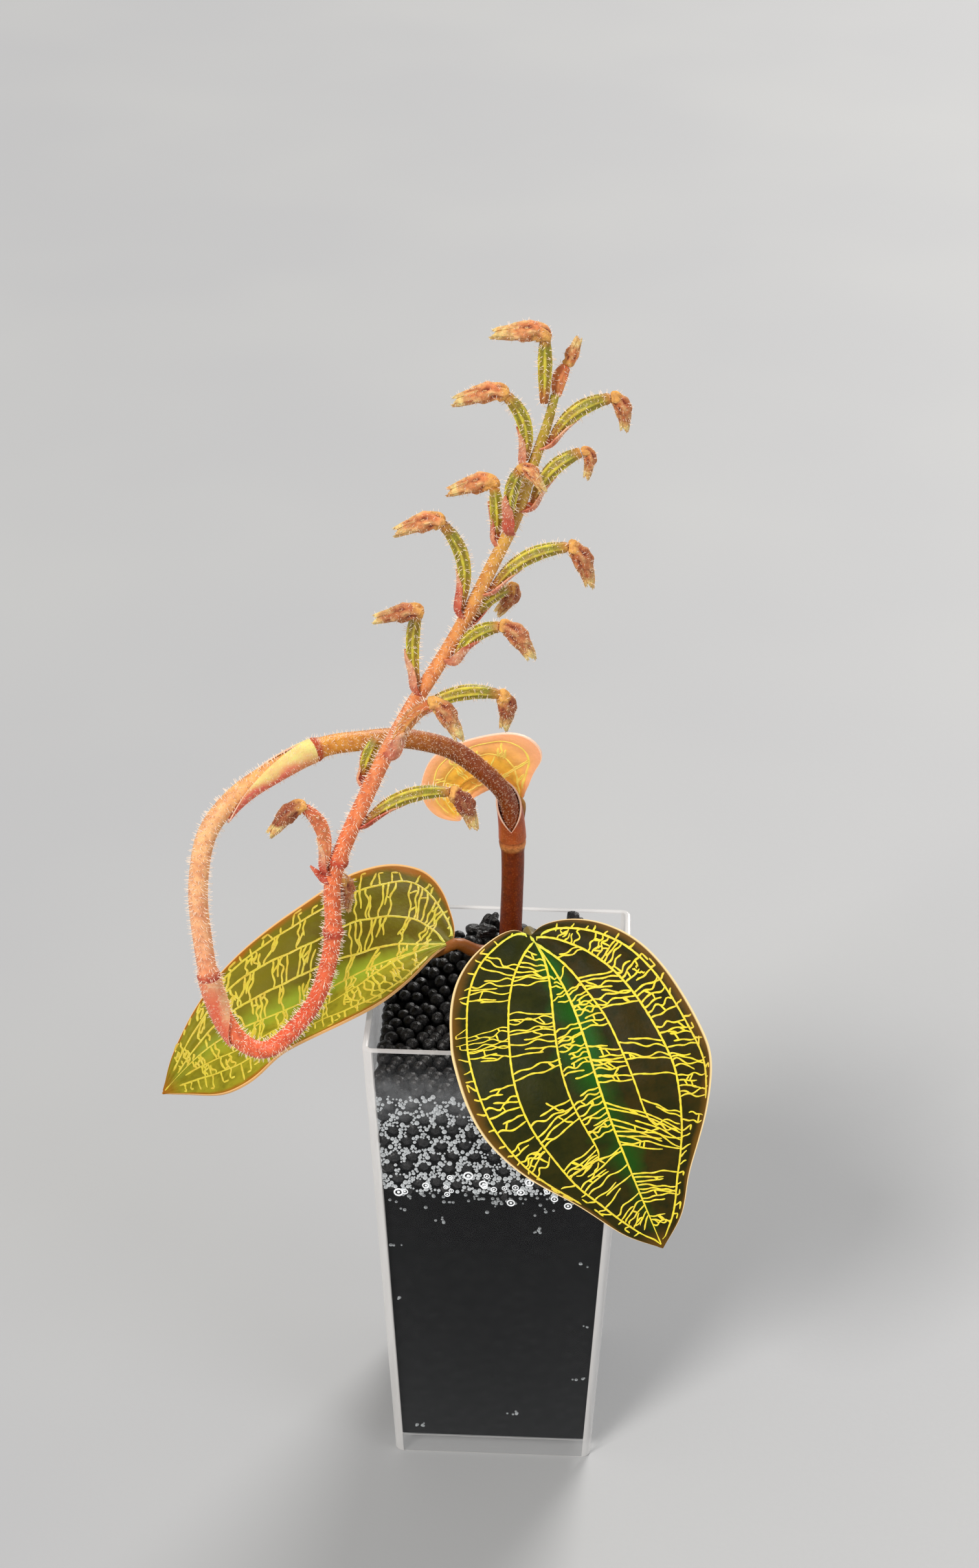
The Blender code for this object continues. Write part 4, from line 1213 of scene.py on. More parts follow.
capsule_unit = make_capsule_unit()
capsules = {}
for number, (distance, head_offset, _) in FLOWERS.items():
    if head_offset is None:
        continue
    path = capsule_path(distance, Vector(head_offset) * MM)
    capsule = copy_of(capsule_unit, "capsule_body_" + number)
    foot = -0.16 if number == "01" else -0.07
    lay_along(capsule, quadratic_route(*path, (0.05, -1.0, 0.1)), MM, foot, 1.0)
    add_attribute(capsule, "blush", np.full(len(capsule.data.vertices), CAPSULE_BLUSH.get(number, 0)))
    shade_round(capsule, 70)
    capsules[number] = capsule
discard(capsule_unit)
print("capsules:", len(capsules), "with", len(capsules["01"].data.polygons), "faces each")

# %% The bract, modelled as a little boat
BRACT_WIDTHS = [(0.0, 1.1), (0.2, 1.4), (0.45, 1.45), (0.72, 1.15), (0.9, 0.6), (1.0, 0.1)]


def make_bract_unit():
    """A pointed blade from z = 0 to 1 whose sides fold up to -Y, in millimetres across."""
    clear_selection()
    bpy.ops.mesh.primitive_grid_add(x_subdivisions=8, y_subdivisions=18, size=2)
    bract = bpy.context.object
    bract.name = "bract_unit"
    flat = points_of(bract)
    along_it = (flat[:, 1] + 1) / 2
    width = np.interp(along_it, *zip(*BRACT_WIDTHS))
    across = flat[:, 0] * width
    fold = -0.5 * across ** 2 - 0.1 * np.abs(across)
    ripple = 0.1 * np.sin(9 * along_it + 2 * flat[:, 0]) * np.abs(flat[:, 0])
    move_points(bract, np.column_stack([across, fold + ripple, along_it]))
    return bract


def bract_route(distance, head_offset, length):
    place, heading, toward, _ = flower_frame(distance, head_offset)
    start, middle, head = capsule_path(distance, head_offset)
    first = (middle - start).normalized()
    reach = (head - middle).length + (middle - start).length
    lean = abs(first.dot(heading))
    below = -(heading - toward * heading.dot(toward)).normalized()
    points = [place - heading * (1.2 + 2.4 * lean) * MM,
              start - first * 1.3 * MM + below * BRACT_CLEAR,
              start + first * 0.8 * MM + below * (BRACT_CLEAR + 0.05 * MM),
              quadratic(start, middle, head, length * 0.6 / reach) + below * (BRACT_CLEAR + 0.35 * MM),
              quadratic(start, middle, head, length / reach) + below * (BRACT_CLEAR + 0.4 * MM)]
    return Route([tuple(point / MM) for point in points], tuple(below), 60)


bract_unit = make_bract_unit()
bract_routes = {}
for number, (distance, head_offset, _) in FLOWERS.items():
    if head_offset is not None and number not in NO_BRACT:
        length = BRACT_LENGTHS.get(number, 6.4) * MM
        bract_routes[number] = bract_route(distance, Vector(head_offset) * MM, length)
place, heading, _, _ = flower_frame(EMPTY_BRACT_ALONG, EMPTY_BRACT_REACH)
empty_points = [place + EMPTY_BRACT_REACH * share / 2 for share in (0.0, 0.7, 1.4, 2.1)]
bract_routes["18"] = Route([tuple(point / MM) for point in empty_points], tuple(heading), 60)
bracts = []
for number, route in bract_routes.items():
    bract = copy_of(bract_unit, "bract_" + number)
    lay_along(bract, route, MM)
    bracts.append(bract)
discard(bract_unit)


def join_all(pieces, name):
    clear_selection()
    for piece in pieces:
        piece.select_set(True)
    bpy.context.view_layer.objects.active = pieces[0]
    if len(pieces) > 1:
        bpy.ops.object.join()
    pieces[0].name = name
    return pieces[0]


bracts = join_all(bracts, "bracts")
apply_modifier(bracts, "SOLIDIFY", thickness=0.3 * MM, offset=0.0)
shade_round(bracts, 60)
print("bracts:", len(bract_routes))

# %% The withered flower, and a copy on each capsule
BLOOM_PROFILE = [(0.0, 1.0), (0.05, 1.4), (0.12, 1.5), (0.2, 1.4), (0.38, 1.75), (0.52, 1.8),
                 (0.66, 1.5), (0.8, 1.05), (0.92, 0.6), (1.0, 0.2)]
# each dry petal tip: where it starts, where it ends, how far it turns out, its angle and its width
PETAL_TIPS = [(0.4, 1.08, 0.35, 0.4, 1.1), (0.45, 1.0, 0.9, 2.9, 0.95), (0.5, 0.93, 1.0, 4.6, 0.8),
              (0.42, 1.02, 0.5, 1.6, 0.9)]


def make_petal_tip(index, start, end, reach, angle, width):
    """A narrow curled blade that leaves the body and turns outward."""
    clear_selection()
    bpy.ops.mesh.primitive_grid_add(x_subdivisions=4, y_subdivisions=9, size=2)
    tip = bpy.context.object
    tip.name = "petal_tip_%d" % index
    flat = points_of(tip)
    share = (flat[:, 1] + 1) / 2
    across = flat[:, 0] * width * np.interp(share, (0, 0.5, 0.85, 1), (0.8, 1.0, 0.75, 0.25))
    out = 1.35 + (reach - 1.35) * share ** 1.6 + 0.25 * np.cos(flat[:, 0] * 2.2)
    x = out * math.cos(angle) - across * math.sin(angle)
    y = out * math.sin(angle) + across * math.cos(angle)
    ragged = 0.05 * np.sin(flat[:, 0] * 7 + index) * share
    move_points(tip, np.column_stack([x, y, start + (end - start) * share + ragged]))
    add_attribute(tip, "crease", 0.6 + 0.4 * np.sin(flat[:, 0] * 5 + index))
    apply_modifier(tip, "SOLIDIFY", thickness=0.16, offset=0.0)
    return tip


def make_bloom_unit():
    body = straight_tube("bloom_unit", 24, (23,))
    local = points_of(body)
    angle = np.arctan2(local[:, 1], local[:, 0])
    crease = (0.13 * np.sin(4 * angle + 5 * local[:, 2]) + 0.09 * np.sin(7 * angle - 9 * local[:, 2])
              + 0.05 * np.sin(3 * angle + 26 * local[:, 2]))
    radius = np.interp(local[:, 2], *zip(*BLOOM_PROFILE)) * (1 + crease)
    local[:, :2] = np.column_stack([np.cos(angle), np.sin(angle)]) * radius[:, None]
    move_points(body, local)
    add_attribute(body, "crease", 0.5 + 2 * crease)
    tips = [make_petal_tip(index, *tip) for index, tip in enumerate(PETAL_TIPS)]
    return join_all([body] + tips, "bloom_unit")


def wrinkle(piece, draw, depth):
    """Shrivel a piece with a few random waves, so that no two copies match."""
    places = points_of(piece)
    move = np.zeros_like(places)
    for _ in range(9):
        pitch = draw.uniform(900, 4200)
        direction = unit(draw.normal(size=3))
        phase = draw.uniform(0, math.tau)
        push = unit(draw.normal(size=3))
        move += push * (np.sin(places @ direction * pitch + phase) / (pitch / 1500))[:, None]
    move_points(piece, places + move * depth)


def bloom_seat(number):
    """Where a withered flower leaves its capsule or the stalk, and its heading there."""
    distance, head_offset, tip_offset = FLOWERS[number]
    if head_offset is None:
        place, _, _, out = flower_frame(distance, Vector(tip_offset))
        return place + out * np.interp(distance, *zip(*SPIKE_RADII)) * MM, out
    path = capsule_path(distance, Vector(head_offset) * MM)
    return path[2], (path[2] - quadratic(*path, 0.95)).normalized()


bloom_unit = make_bloom_unit()
draw = np.random.default_rng(5)
blooms = {}
for number, (_, _, tip_offset) in FLOWERS.items():
    if tip_offset is None:
        continue
    seat, heading = bloom_seat(number)
    tip = seat + Vector(tip_offset) * MM
    start = seat + heading * GAP * 0.4
    middle = (start + tip) / 4 + (seat + heading * BLOOM_NECK) / 2
    stout = min(1.0, (tip - start).length / BLOOM_FULL_LENGTH)
    bloom = copy_of(bloom_unit, "withered_" + number)
    lay_along(bloom, quadratic_route(start, middle, tip, (0.1, -1.0, 0.3)), stout * MM)
    wrinkle(bloom, draw, 0.06 * MM)
    add_attribute(bloom, "dark", np.full(len(bloom.data.vertices), FLOWER_DARK.get(number, 0)))
    shade_round(bloom, 60)
    blooms[number] = bloom
discard(bloom_unit)
print("withered flowers:", len(blooms), "with", len(blooms["01"].data.polygons), "faces each")

# %% [markdown]
# ## Finishes of the stalk, stem and flowers
#
# The living parts share the two effects above, so each finish here is mostly a choice of colours
# along the part. The stalk turns from brown-red through salmon and coral to yellow-green at its
# top, and a ramp along it says so. Thin, fleshy parts glow a little where light passes through
# them, which subsurface scattering gives.

# %% Stalk and stem
# distance along the stalk in millimetres and the colour seen there
STALK_COLOURS = [
    (0, (140, 60, 8)), (28, (148, 66, 10)), (48, (188, 112, 26)), (64, (234, 162, 60)),
    (92, (252, 194, 134)), (118, (252, 184, 134)), (134, (242, 122, 76)), (160, (232, 94, 58)),
    (196, (242, 128, 76)), (228, (240, 148, 92)), (252, (236, 158, 88)), (278, (218, 168, 72)),
    (306, (176, 164, 54)),
]


def fleshy(name, colour_of, size, roughness=0.42, glow=0.12, depth=0.0003, gloss=0.4):
    """A living finish: colour_of takes the node tree and gives its colour output."""
    material, tree, shader = start_material(name, Subsurface_Weight=glow, Subsurface_Scale=0.0015)
    shader.inputs["Subsurface Radius"].default_value = (1.0, 0.45, 0.2)
    shader.inputs["Specular IOR Level"].default_value = gloss
    tree.links.new(colour_of(tree), shader.inputs["Base Color"])
    add_grain(tree, shader, size, roughness, 0.15, depth, 0.4)
    return material


def stalk_colour(tree):
    stops = [(distance / SPIKE_LENGTH, seen(*colour)) for distance, colour in STALK_COLOURS]
    base = ramp(tree, attribute(tree, "along"), stops)
    for place in SPIKE_RINGS:
        off = maths(tree, "SUBTRACT", attribute(tree, "along"), place / SPIKE_LENGTH)
        near = spread(tree, maths(tree, "ABSOLUTE", off), 0.0012, 0.0045, 0.85, 0.0)
        base = mix(tree, near, base, seen(186, 62, 42))
    darker = mix(tree, 1.0, base, seen(190, 120, 110), "MULTIPLY")
    return blotches(tree, base, darker, seen(250, 214, 176), 520.0, 0.45, 0.3)


def sheath_colour(tree):
    rise = attribute(tree, "rise")
    loop = spread(tree, attribute(tree, "along"), 0.35, 0.38)
    pale = mix(tree, loop, seen(250, 228, 140), seen(246, 184, 136))
    pink = mix(tree, loop, seen(248, 124, 104), seen(230, 106, 74))
    uneven = spread(tree, noise(tree, 200.0, 2.0), 0.3, 0.7, -0.12, 0.12)
    away = maths(tree, "ADD", attribute(tree, "away"), uneven)
    base = mix(tree, spread(tree, away, 0.36, 0.62), pink, pale)
    base = mix(tree, spread(tree, rise, 0.0, 0.35, 0.5, 0.0), base, pale)
    return blotches(tree, base, pink, seen(254, 234, 190), 260.0, 0.3, 0.25)


def stem_colour(tree):
    height = spread(tree, attribute(tree, "along"), 0.0, 1.0)
    base = ramp(tree, height, [(0.0, seen(84, 30, 6)), (0.6, seen(116, 44, 8)),
                               (0.915, seen(132, 52, 12)), (0.935, seen(230, 152, 84)),
                               (0.95, seen(222, 138, 74)), (0.965, seen(160, 76, 34))])
    return blotches(tree, base, seen(78, 28, 6), seen(176, 90, 34), 700.0, 0.45, 0.4)


def stem_sheath_colour(tree):
    base = ramp(tree, attribute(tree, "rise"), [(0.0, seen(192, 92, 32)), (0.4, seen(178, 74, 26)),
                                                (0.85, seen(198, 92, 48)), (1.0, seen(236, 166, 130))])
    return blotches(tree, base, seen(136, 56, 22), seen(226, 146, 92), 600.0, 0.4, 0.3)


stalk_finish = fleshy("stalk_skin", stalk_colour, 2600.0)
sheath_finish = fleshy("sheath_skin", sheath_colour, 2200.0, glow=0.3)
pale_rim = fleshy("sheath_rim", lambda tree: mix(tree, 0.5, seen(252, 214, 190), seen(244, 180, 150)),
                  2200.0, glow=0.3)
stem_finish = fleshy("stem_skin", stem_colour, 2400.0, 0.42, gloss=0.25)
stem_sheath_finish = fleshy("stem_sheath_skin", stem_sheath_colour, 2400.0, 0.4)
paint(spike, stalk_finish)
for sheath in sheaths:
    paint(sheath, sheath_finish, pale_rim)
paint(stem, stem_finish)
paint(stem_sheath, stem_sheath_finish, pale_rim)
settle(spike, "spike_coral", "flower_spike")
for sheath in sheaths:
    settle(sheath, "spike_coral")
settle(stem, "stem_brown", "stem")
settle(stem_sheath, "stem_brown")
print("stalk and stem are painted")

# %% Capsules, bracts and withered flowers
def capsule_colour(tree):
    along_it = attribute(tree, "along")
    # painted light: darker between the ribs as painted shade, lighter on their crests as a painted
    # highlight
    shaded_valley = ramp(tree, along_it, [(0.0, seen(160, 92, 40)), (0.3, seen(150, 138, 34)),
                                   (0.85, seen(138, 132, 32)), (1.0, seen(196, 130, 60))])
    crest = ramp(tree, along_it, [(0.0, seen(220, 150, 74)), (0.2, seen(222, 208, 62)),
                                  (0.85, seen(232, 220, 76)), (1.0, seen(244, 196, 110))])
    uneven = spread(tree, noise(tree, 420.0, 2.0), 0.3, 0.7, -0.25, 0.25)
    rib = maths(tree, "ADD", attribute(tree, "rib"), uneven)
    base = mix(tree, spread(tree, rib, 0.3, 0.95), shaded_valley, crest)
    base = mix(tree, attribute(tree, "blush"), base, mix(tree, along_it, seen(240, 150, 100),
                                                          seen(226, 110, 70)))
    return blotches(tree, base, seen(150, 78, 34), seen(236, 214, 110), 640.0, 0.35, 0.25)


def bract_colour(tree):
    tone = spread(tree, noise(tree, 160.0, 2.0), 0.4, 0.62)
    foot = mix(tree, tone, seen(186, 66, 48), seen(236, 140, 104))
    end = mix(tree, tone, seen(226, 116, 84), seen(250, 196, 152))
    base = mix(tree, attribute(tree, "along"), foot, end)
    return blotches(tree, base, seen(150, 44, 34), seen(248, 206, 176), 700.0, 0.45, 0.25)


def bloom_colour(tree):
    along_it = attribute(tree, "along")
    patchy = spread(tree, noise(tree, 520.0, 3.0, 0.65), 0.36, 0.62)
    # painted shade and highlight: darkest in the deepest creases, lightest on the ridges
    dark = mix(tree, spread(tree, attribute(tree, "crease"), 0.12, 0.42), seen(104, 26, 16),
               seen(234, 142, 84))
    red = mix(tree, spread(tree, attribute(tree, "crease"), 0.5, 0.9), dark, seen(254, 204, 138))
    red = mix(tree, maths(tree, "MULTIPLY", patchy, 0.25), red, seen(184, 80, 48))
    pale = mix(tree, patchy, seen(236, 170, 100), seen(252, 226, 150))
    shifted = maths(tree, "ADD", along_it, spread(tree, noise(tree, 300.0, 2.0), 0.3, 0.7, -0.16, 0.16))
    red = mix(tree, maths(tree, "MULTIPLY", attribute(tree, "dark"), 0.8), red, seen(112, 26, 18))
    red = mix(tree, spread(tree, shifted, 0.1, 0.24), seen(240, 178, 92), red)
    base = mix(tree, spread(tree, shifted, 0.72, 0.95), red, pale)
    return blotches(tree, base, seen(110, 30, 18), seen(246, 190, 130), 1100.0, 0.35, 0.35)


capsule_finish = fleshy("capsule_skin", capsule_colour, 2800.0, 0.45)
bract_finish = fleshy("bract_skin", bract_colour, 2400.0, 0.5, glow=0.3)
bloom_finish = fleshy("dry_petal", bloom_colour, 1800.0, 0.68, glow=0.15, depth=0.0009)
for number, capsule in capsules.items():
    paint(capsule, capsule_finish)
    settle(capsule, "capsule_olive", "capsule_" + number)
for number, bloom in blooms.items():
    paint(bloom, bloom_finish)
    settle(bloom, "withered_flower", "bloom_" + number)
paint(bracts, bract_finish)
settle(bracts, "spike_coral")
print("capsules and flowers are painted")

# %% [markdown]
# ## Leaves
#
# Each leaf is a heart-shaped blade, folded along its midrib and puckered between its long veins.
# Its surface is written once, as the place of any point by how far along the blade it is and how
# far out to the edge. A flat grid is then laid on that surface, and so can anything else be that
# has to follow the blade, such as the veins.

# %% The shape of a leaf
LEAF_FOLD_SOFTNESS = 3.0 * MM
LEAF_THICKNESS = 0.5 * MM
# share of the half width, and the rise of the blade there: it is puckered between the long veins
PUCKERS = [(0.0, 0.0), (0.12, 0.25), (0.25, 0.0), (0.42, 0.3), (0.58, 0.0), (0.73, 0.25), (0.87, 0.0),
           (1.0, 0.1)]
# the midrib's route, which way the upper side faces at the foot and the tip, how steeply the
# halves fold up, how far they curl, the outline of each half along and across the midrib, and the
# leaf stalk's route, its radii there and the size of the midrib that it becomes
LEAVES = {
    "leaf_right": {
        "spine": [(6.5, -11, 137), (14.5, -22.5, 131), (21.5, -36, 118), (29, -42.5, 100),
                  (36, -45.5, 83)],
        "facing": ((0, -0.8, 0.6), (0, -0.8, 0.6)),
        "fold": 0.08,
        "curl": -0.0018,
        "left": [(0, 0), (-3, -1.5), (-4.5, -7), (-3.5, -13.5), (-0.5, -19), (5, -23.5), (14.5, -26.5),
                 (26, -27.5), (36, -26.5), (43, -23.5), (50.5, -18.5), (55.5, -14.5), (61.5, -10.5),
                 (68, -6.5), (74.7, 0)],
        "right": [(0, 0), (-0.5, 2), (0.3, 5.5), (3.8, 10.8), (8, 14.8), (15, 19.3), (22.5, 22),
                  (29, 23.5), (36, 24), (43, 22), (50, 18.4), (56, 14.3), (62, 10.3), (68, 7), (74.7, 0)],
        "petiole": [(4.9, 9.6, 121), (5.5, 3.5, 127.5), (6.0, -4, 133.5), (6.4, -9.5, 136.2)],
        "stalk": (1.4, 1.3, 1.2, 1.2),
        "midrib": 1.0,
    },
    "leaf_left": {
        "spine": [(-11, 6, 123), (-28, -1.5, 121), (-43.5, -4, 112.5), (-61, -9, 105.5),
                  (-73, -13, 94)],
        "facing": ((0, 0, 1), (0, -0.5, 0.85)),
        "fold": 0.34,
        "curl": 0.0,
        "left": [(0, 0), (-1.5, -2), (-3.5, -8.5), (-4, -15), (-2, -20.5), (3, -23.2), (9.5, -23.5),
                 (24, -21.7), (35, -19.5), (44.5, -16), (51, -12.5), (56.5, -9), (62, -6), (68, -3.2),
                 (73.4, 0)],
        "right": [(0, 0), (2, 0.7), (5.5, 3), (10.5, 8), (16, 13.2), (20, 15.7), (24, 15.8), (30, 14.3),
                  (38, 12.5), (44, 12.8), (51, 15.3), (57, 14.5), (66.5, 7), (73.4, 0)],
        "petiole": [(-1.1, 11.2, 118.5), (-4, 9.6, 118.5), (-7.5, 8, 120.6), (-10.2, 6.4, 122.7)],
        "stalk": (1.6, 1.6, 1.5, 1.3),
        "midrib": 1.0,
    },
    "leaf_back": {
        "spine": [(3.6, 16.2, 154.2), (0.5, 18.2, 157), (-4.5, 19.8, 158), (-9, 20.8, 155.5),
                  (-11, 20.8, 151.5), (-10, 19.5, 146.5)],
        "facing": ((0, 0.93, 0.36), (0, 0.93, 0.36)),
        "fold": 0.1,
        "curl": 0.0,
        "left": [(0, 0), (0.5, -3), (4, -5), (9, -6), (15, -6), (21, -3.5), (25.7, 0)],
        "right": [(0, 0), (1, 2.5), (2.5, 7.5), (3.5, 12.5), (5.5, 14.5), (8.5, 12.5), (11.5, 10.5),
                  (15, 9.7), (18, 8.3), (21, 7), (24, 4.4), (25.7, 0)],
        "petiole": [(3.3, 15.1, 149.8), (3.6, 15.6, 151.5), (3.6, 16.0, 153.2)],
        "stalk": (0.84, 0.78, 0.72),
        "midrib": 0.6,
    },
}


class Blade:
    """A leaf's surface, by t along the blade and s from -1 at its left edge to 1 at its right."""

    def __init__(self, leaf):
        self.leaf = leaf
        spine = np.array(leaf["spine"], float) * MM
        self.spine, self.length = natural_spline(spine, 240)
        self.reach = np.linspace(0.0, self.length, 240)
        self.face = [np.array(face, float) for face in leaf["facing"]]
        self.edge = {}
        for side in ("left", "right"):
            outline = np.array(leaf[side], float) * MM
            self.edge[side], _ = natural_spline(outline, 500)

    def on_spine(self, distance):
        return np.column_stack([np.interp(distance, self.reach, self.spine[:, i]) for i in range(3)])

    def plan(self, t, s):
        """Distance along the midrib and across it, in metres."""
        t = np.clip(t, 0.0, 1.0)
        shares = np.linspace(0, 1, 500)
        middle = np.column_stack([self.length * t, np.zeros_like(t)])
        left = np.column_stack([np.interp(t, shares, self.edge["left"][:, i]) for i in (0, 1)])
        right = np.column_stack([np.interp(t, shares, self.edge["right"][:, i]) for i in (0, 1)])
        edge = np.where((s < 0)[:, None], left, right)
        return middle + (edge - middle) * np.abs(s)[:, None]

    def surface(self, u, v):
        """Place and normal of the flat plan's points on the folded blade."""
        inside = np.clip(u, 0.0, self.length)
        here = self.on_spine(inside)
        ahead = self.on_spine(np.minimum(inside + 1.5 * MM, self.length))
        behind = self.on_spine(np.maximum(inside - 1.5 * MM, 0.0))
        heading = unit(ahead - behind)
        share = (inside / self.length)[:, None]
        facing = self.face[0] * (1 - share) + self.face[1] * share
        across = unit(np.cross(facing, heading))
        normal = np.cross(heading, across)
        soft = LEAF_FOLD_SOFTNESS
        lift = self.leaf["fold"] * (np.sqrt(v * v + soft * soft) - soft) + self.leaf["curl"] * v * v / MM
        place = here + heading * (u - inside)[:, None] + across * v[:, None] + normal * lift[:, None]
        return place, normal

    def pucker(self, t, s):
        """Rise of the blade between its veins, in metres."""
        rise = np.interp(np.abs(s), self.pucker_share, self.pucker_rise)
        fade = np.clip(np.minimum(t, 1 - t) / 0.08, 0, 1)
        wave = 0.1 * np.sin(t * 74 + 3 * np.abs(s)) * np.sin(np.abs(s) * math.pi)
        return (rise + wave) * fade * MM

    pucker_curve, _ = natural_spline(PUCKERS, 120)
    pucker_share, pucker_rise = pucker_curve.T

    def lay(self, t, s, lift):
        """Place points on the blade, raised by lift along its normal."""
        plan = self.plan(t, s)
        place, normal = self.surface(plan[:, 0], plan[:, 1])
        return place + normal * (self.pucker(t, s) + lift)[:, None]


blades = {name: Blade(leaf) for name, leaf in LEAVES.items()}
for name, blade in blades.items():
    print(name, "is", round(blade.length / MM, 1), "mm long")

# %% Blades
BLADE_GRID = {"leaf_right": (110, 80), "leaf_left": (110, 80), "leaf_back": (60, 44)}


def make_blade(name):
    blade = blades[name]
    clear_selection()
    rows, columns = BLADE_GRID[name]
    bpy.ops.mesh.primitive_grid_add(x_subdivisions=rows, y_subdivisions=columns, size=2)
    piece = bpy.context.object
    piece.name = name + "_body"
    flat = points_of(piece)
    t = (flat[:, 0] + 1) / 2
    s = flat[:, 1]
    add_attribute(piece, "t", t)
    add_attribute(piece, "s", s)
    move_points(piece, blade.lay(t, s, np.zeros(len(t))))
    edit(piece)
    bpy.ops.mesh.select_all(action="SELECT")
    bpy.ops.mesh.remove_doubles(threshold=0.00002)
    leave_edit()
    piece.data.materials.append(None)
    piece.data.materials.append(None)
    piece.data.materials.append(None)
    apply_modifier(piece, "SOLIDIFY", thickness=LEAF_THICKNESS, offset=0.0, material_offset=1,
                   material_offset_rim=2)
    shade_round(piece, 60)
    return piece


leaf_pieces = {name: make_blade(name) for name in LEAVES}
for name, piece in leaf_pieces.items():
    print(name, "faces:", len(piece.data.polygons))

# %% [markdown]
# The leaf stalk comes from the foot of the stem, channels up under the blade and thins out as the
# raised midrib of its underside.

# %% Leaf stalks
# share of the blade, how deep below it and how thick the midrib is, in millimetres
MIDRIB = [(0.03, 1.15, 1.1), (0.12, 1.05, 1.0), (0.24, 0.85, 0.8), (0.38, 0.7, 0.65), (0.55, 0.5, 0.4),
          (0.75, 0.35, 0.25), (0.93, 0.3, 0.12)]


def make_leaf_stalk(name):
    leaf = LEAVES[name]
    blade = blades[name]
    line = [np.array(place, float) for place in leaf["petiole"]]
    radii = list(leaf["stalk"])
    for share, depth, radius in MIDRIB:
        place, normal = blade.surface(np.array([blade.length * share]), np.zeros(1))
        line.append((place[0] - normal[0] * depth * MM) / MM)
        radii.append(radius * leaf["midrib"])
    route = Route(line, hint=(0.1, -0.2, 1.0), count=200)
    knots = np.cumsum([0.0] + [np.linalg.norm(b - a) for a, b in zip(line, line[1:])])
    piece = straight_tube(name + "_stalk", 12, (47,))
    lay_along(piece, route, lambda share: np.interp(share, knots / knots[-1], radii) * MM)
    shade_round(piece, 60)
    return piece


leaf_stalks = {name: make_leaf_stalk(name) for name in LEAVES}
print("leaf stalks:", len(leaf_stalks))

# %% Leaf finishes
# for each leaf: the two halves of the blade, its blotches, the zone along the midrib, the margin,
# the pale edge, the two halves of the underside, and the stalk, as seen
LEAF_COLOURS = {
    "leaf_right": (((44, 46, 6), (54, 44, 6)), (28, 34, 4), (26, 84, 14), (104, 72, 18),
                   (250, 218, 160), ((96, 84, 52), (96, 84, 52)), (112, 96, 34)),
    "leaf_left": (((98, 86, 10), (154, 146, 32)), (112, 106, 14), (148, 166, 42), (158, 96, 18),
                  (242, 190, 124), ((150, 140, 84), (150, 140, 84)), (158, 92, 28)),
    "leaf_back": (((226, 178, 58), (232, 184, 60)), (176, 140, 32), (248, 214, 92), (252, 182, 142),
                  (254, 218, 196), ((238, 176, 44), (246, 190, 54)), (186, 132, 58)),
}


def blade_colour(tree, blade, blotch, green, margin, edge, margin_from=0.9):
    side = maths(tree, "ABSOLUTE", attribute(tree, "s"))
    along_it = attribute(tree, "t")
    half = maths(tree, "MAXIMUM", spread(tree, attribute(tree, "s"), -0.15, 0.15),
                 spread(tree, along_it, 0.45, 0.85, 0.0, 0.7))
    ground = mix(tree, half, seen(*blade[0]), seen(*blade[1]))
    body = blotches(tree, ground, seen(*blotch), seen(*blotch), 230.0, 0.65, 0.2)
    wander = spread(tree, noise(tree, 140.0, 3.0), 0.3, 0.7, -0.1, 0.1)
    near = spread(tree, maths(tree, "ADD", side, wander), 0.0, 0.24, 1.0, 0.0)
    near = maths(tree, "MULTIPLY", near, spread(tree, along_it, 0.55, 0.95, 1.0, 0.3))
    body = mix(tree, near, body, seen(*green))
    outer = spread(tree, maths(tree, "ADD", side, maths(tree, "MULTIPLY", wander, 0.3)),
                   margin_from, 0.97)
    outer = maths(tree, "MAXIMUM", outer, spread(tree, along_it, 0.93, 0.99))
    body = mix(tree, outer, body, seen(*margin))
    return mix(tree, spread(tree, side, 0.976, 0.988), body, seen(*edge))


def leaf_finish(name):
    blade, blotch, green, margin, edge, under, stalk = LEAF_COLOURS[name]
    top = fleshy(name + "_top", lambda tree: blade_colour(tree, blade, blotch, green, margin, edge),
                 1500.0, 0.55, 0.05, 0.0002, 0.12)
    margin_from = 0.35 if name == "leaf_back" else 0.9
    lower = fleshy(name + "_under", lambda tree: blade_colour(tree, under, blotch, under[0], margin, edge,
                                                              margin_from), 1500.0, 0.6, 0.15, 0.0003, 0.2)
    # painted glow: the back leaf's underside gives off light of its own, as if lit through from behind
    if name == "leaf_back":
        painted_glow_shader = lower.node_tree.nodes["Principled BSDF"]
        painted_glow_shader.inputs["Emission Color"].default_value = seen(250, 180, 100)
        painted_glow_shader.inputs["Emission Strength"].default_value = 0.18
    rim = fleshy(name + "_rim", lambda tree: mix(tree, 0.8, seen(*margin), seen(*edge)), 1500.0, 0.45)
    stem_like = fleshy(name + "_petiole",
                       lambda tree: ramp(tree, attribute(tree, "along"),
                                         [(0.0, seen(122, 64, 32)), (0.14, seen(*stalk)),
                                          (1.0, seen(*under[0]))]), 2000.0)
    return top, lower, rim, stem_like


for name in LEAVES:
    top, lower, rim, stem_like = leaf_finish(name)
    paint(leaf_pieces[name], top, lower, rim)
    paint(leaf_stalks[name], stem_like)
    settle(leaf_pieces[name], name + "_blade", name)
    settle(leaf_stalks[name], name + "_blade")
print("leaf finishes:", ", ".join(LEAF_COLOURS))

# %% [markdown]
# ## The net of golden veins
#
# The plant is grown for its veins: a few long ones run from the stalk to the tip, and bundles of
# crooked little ones cross between them like sparks. An image would blur up close, so each vein is
# a low strip on the blade. The long ones were traced from this leaf as points of t and s. For the
# bundles only their ends and numbers were noted, and a seeded rule draws their crooked lines,
# some of which fork, meet a neighbour or stop short.

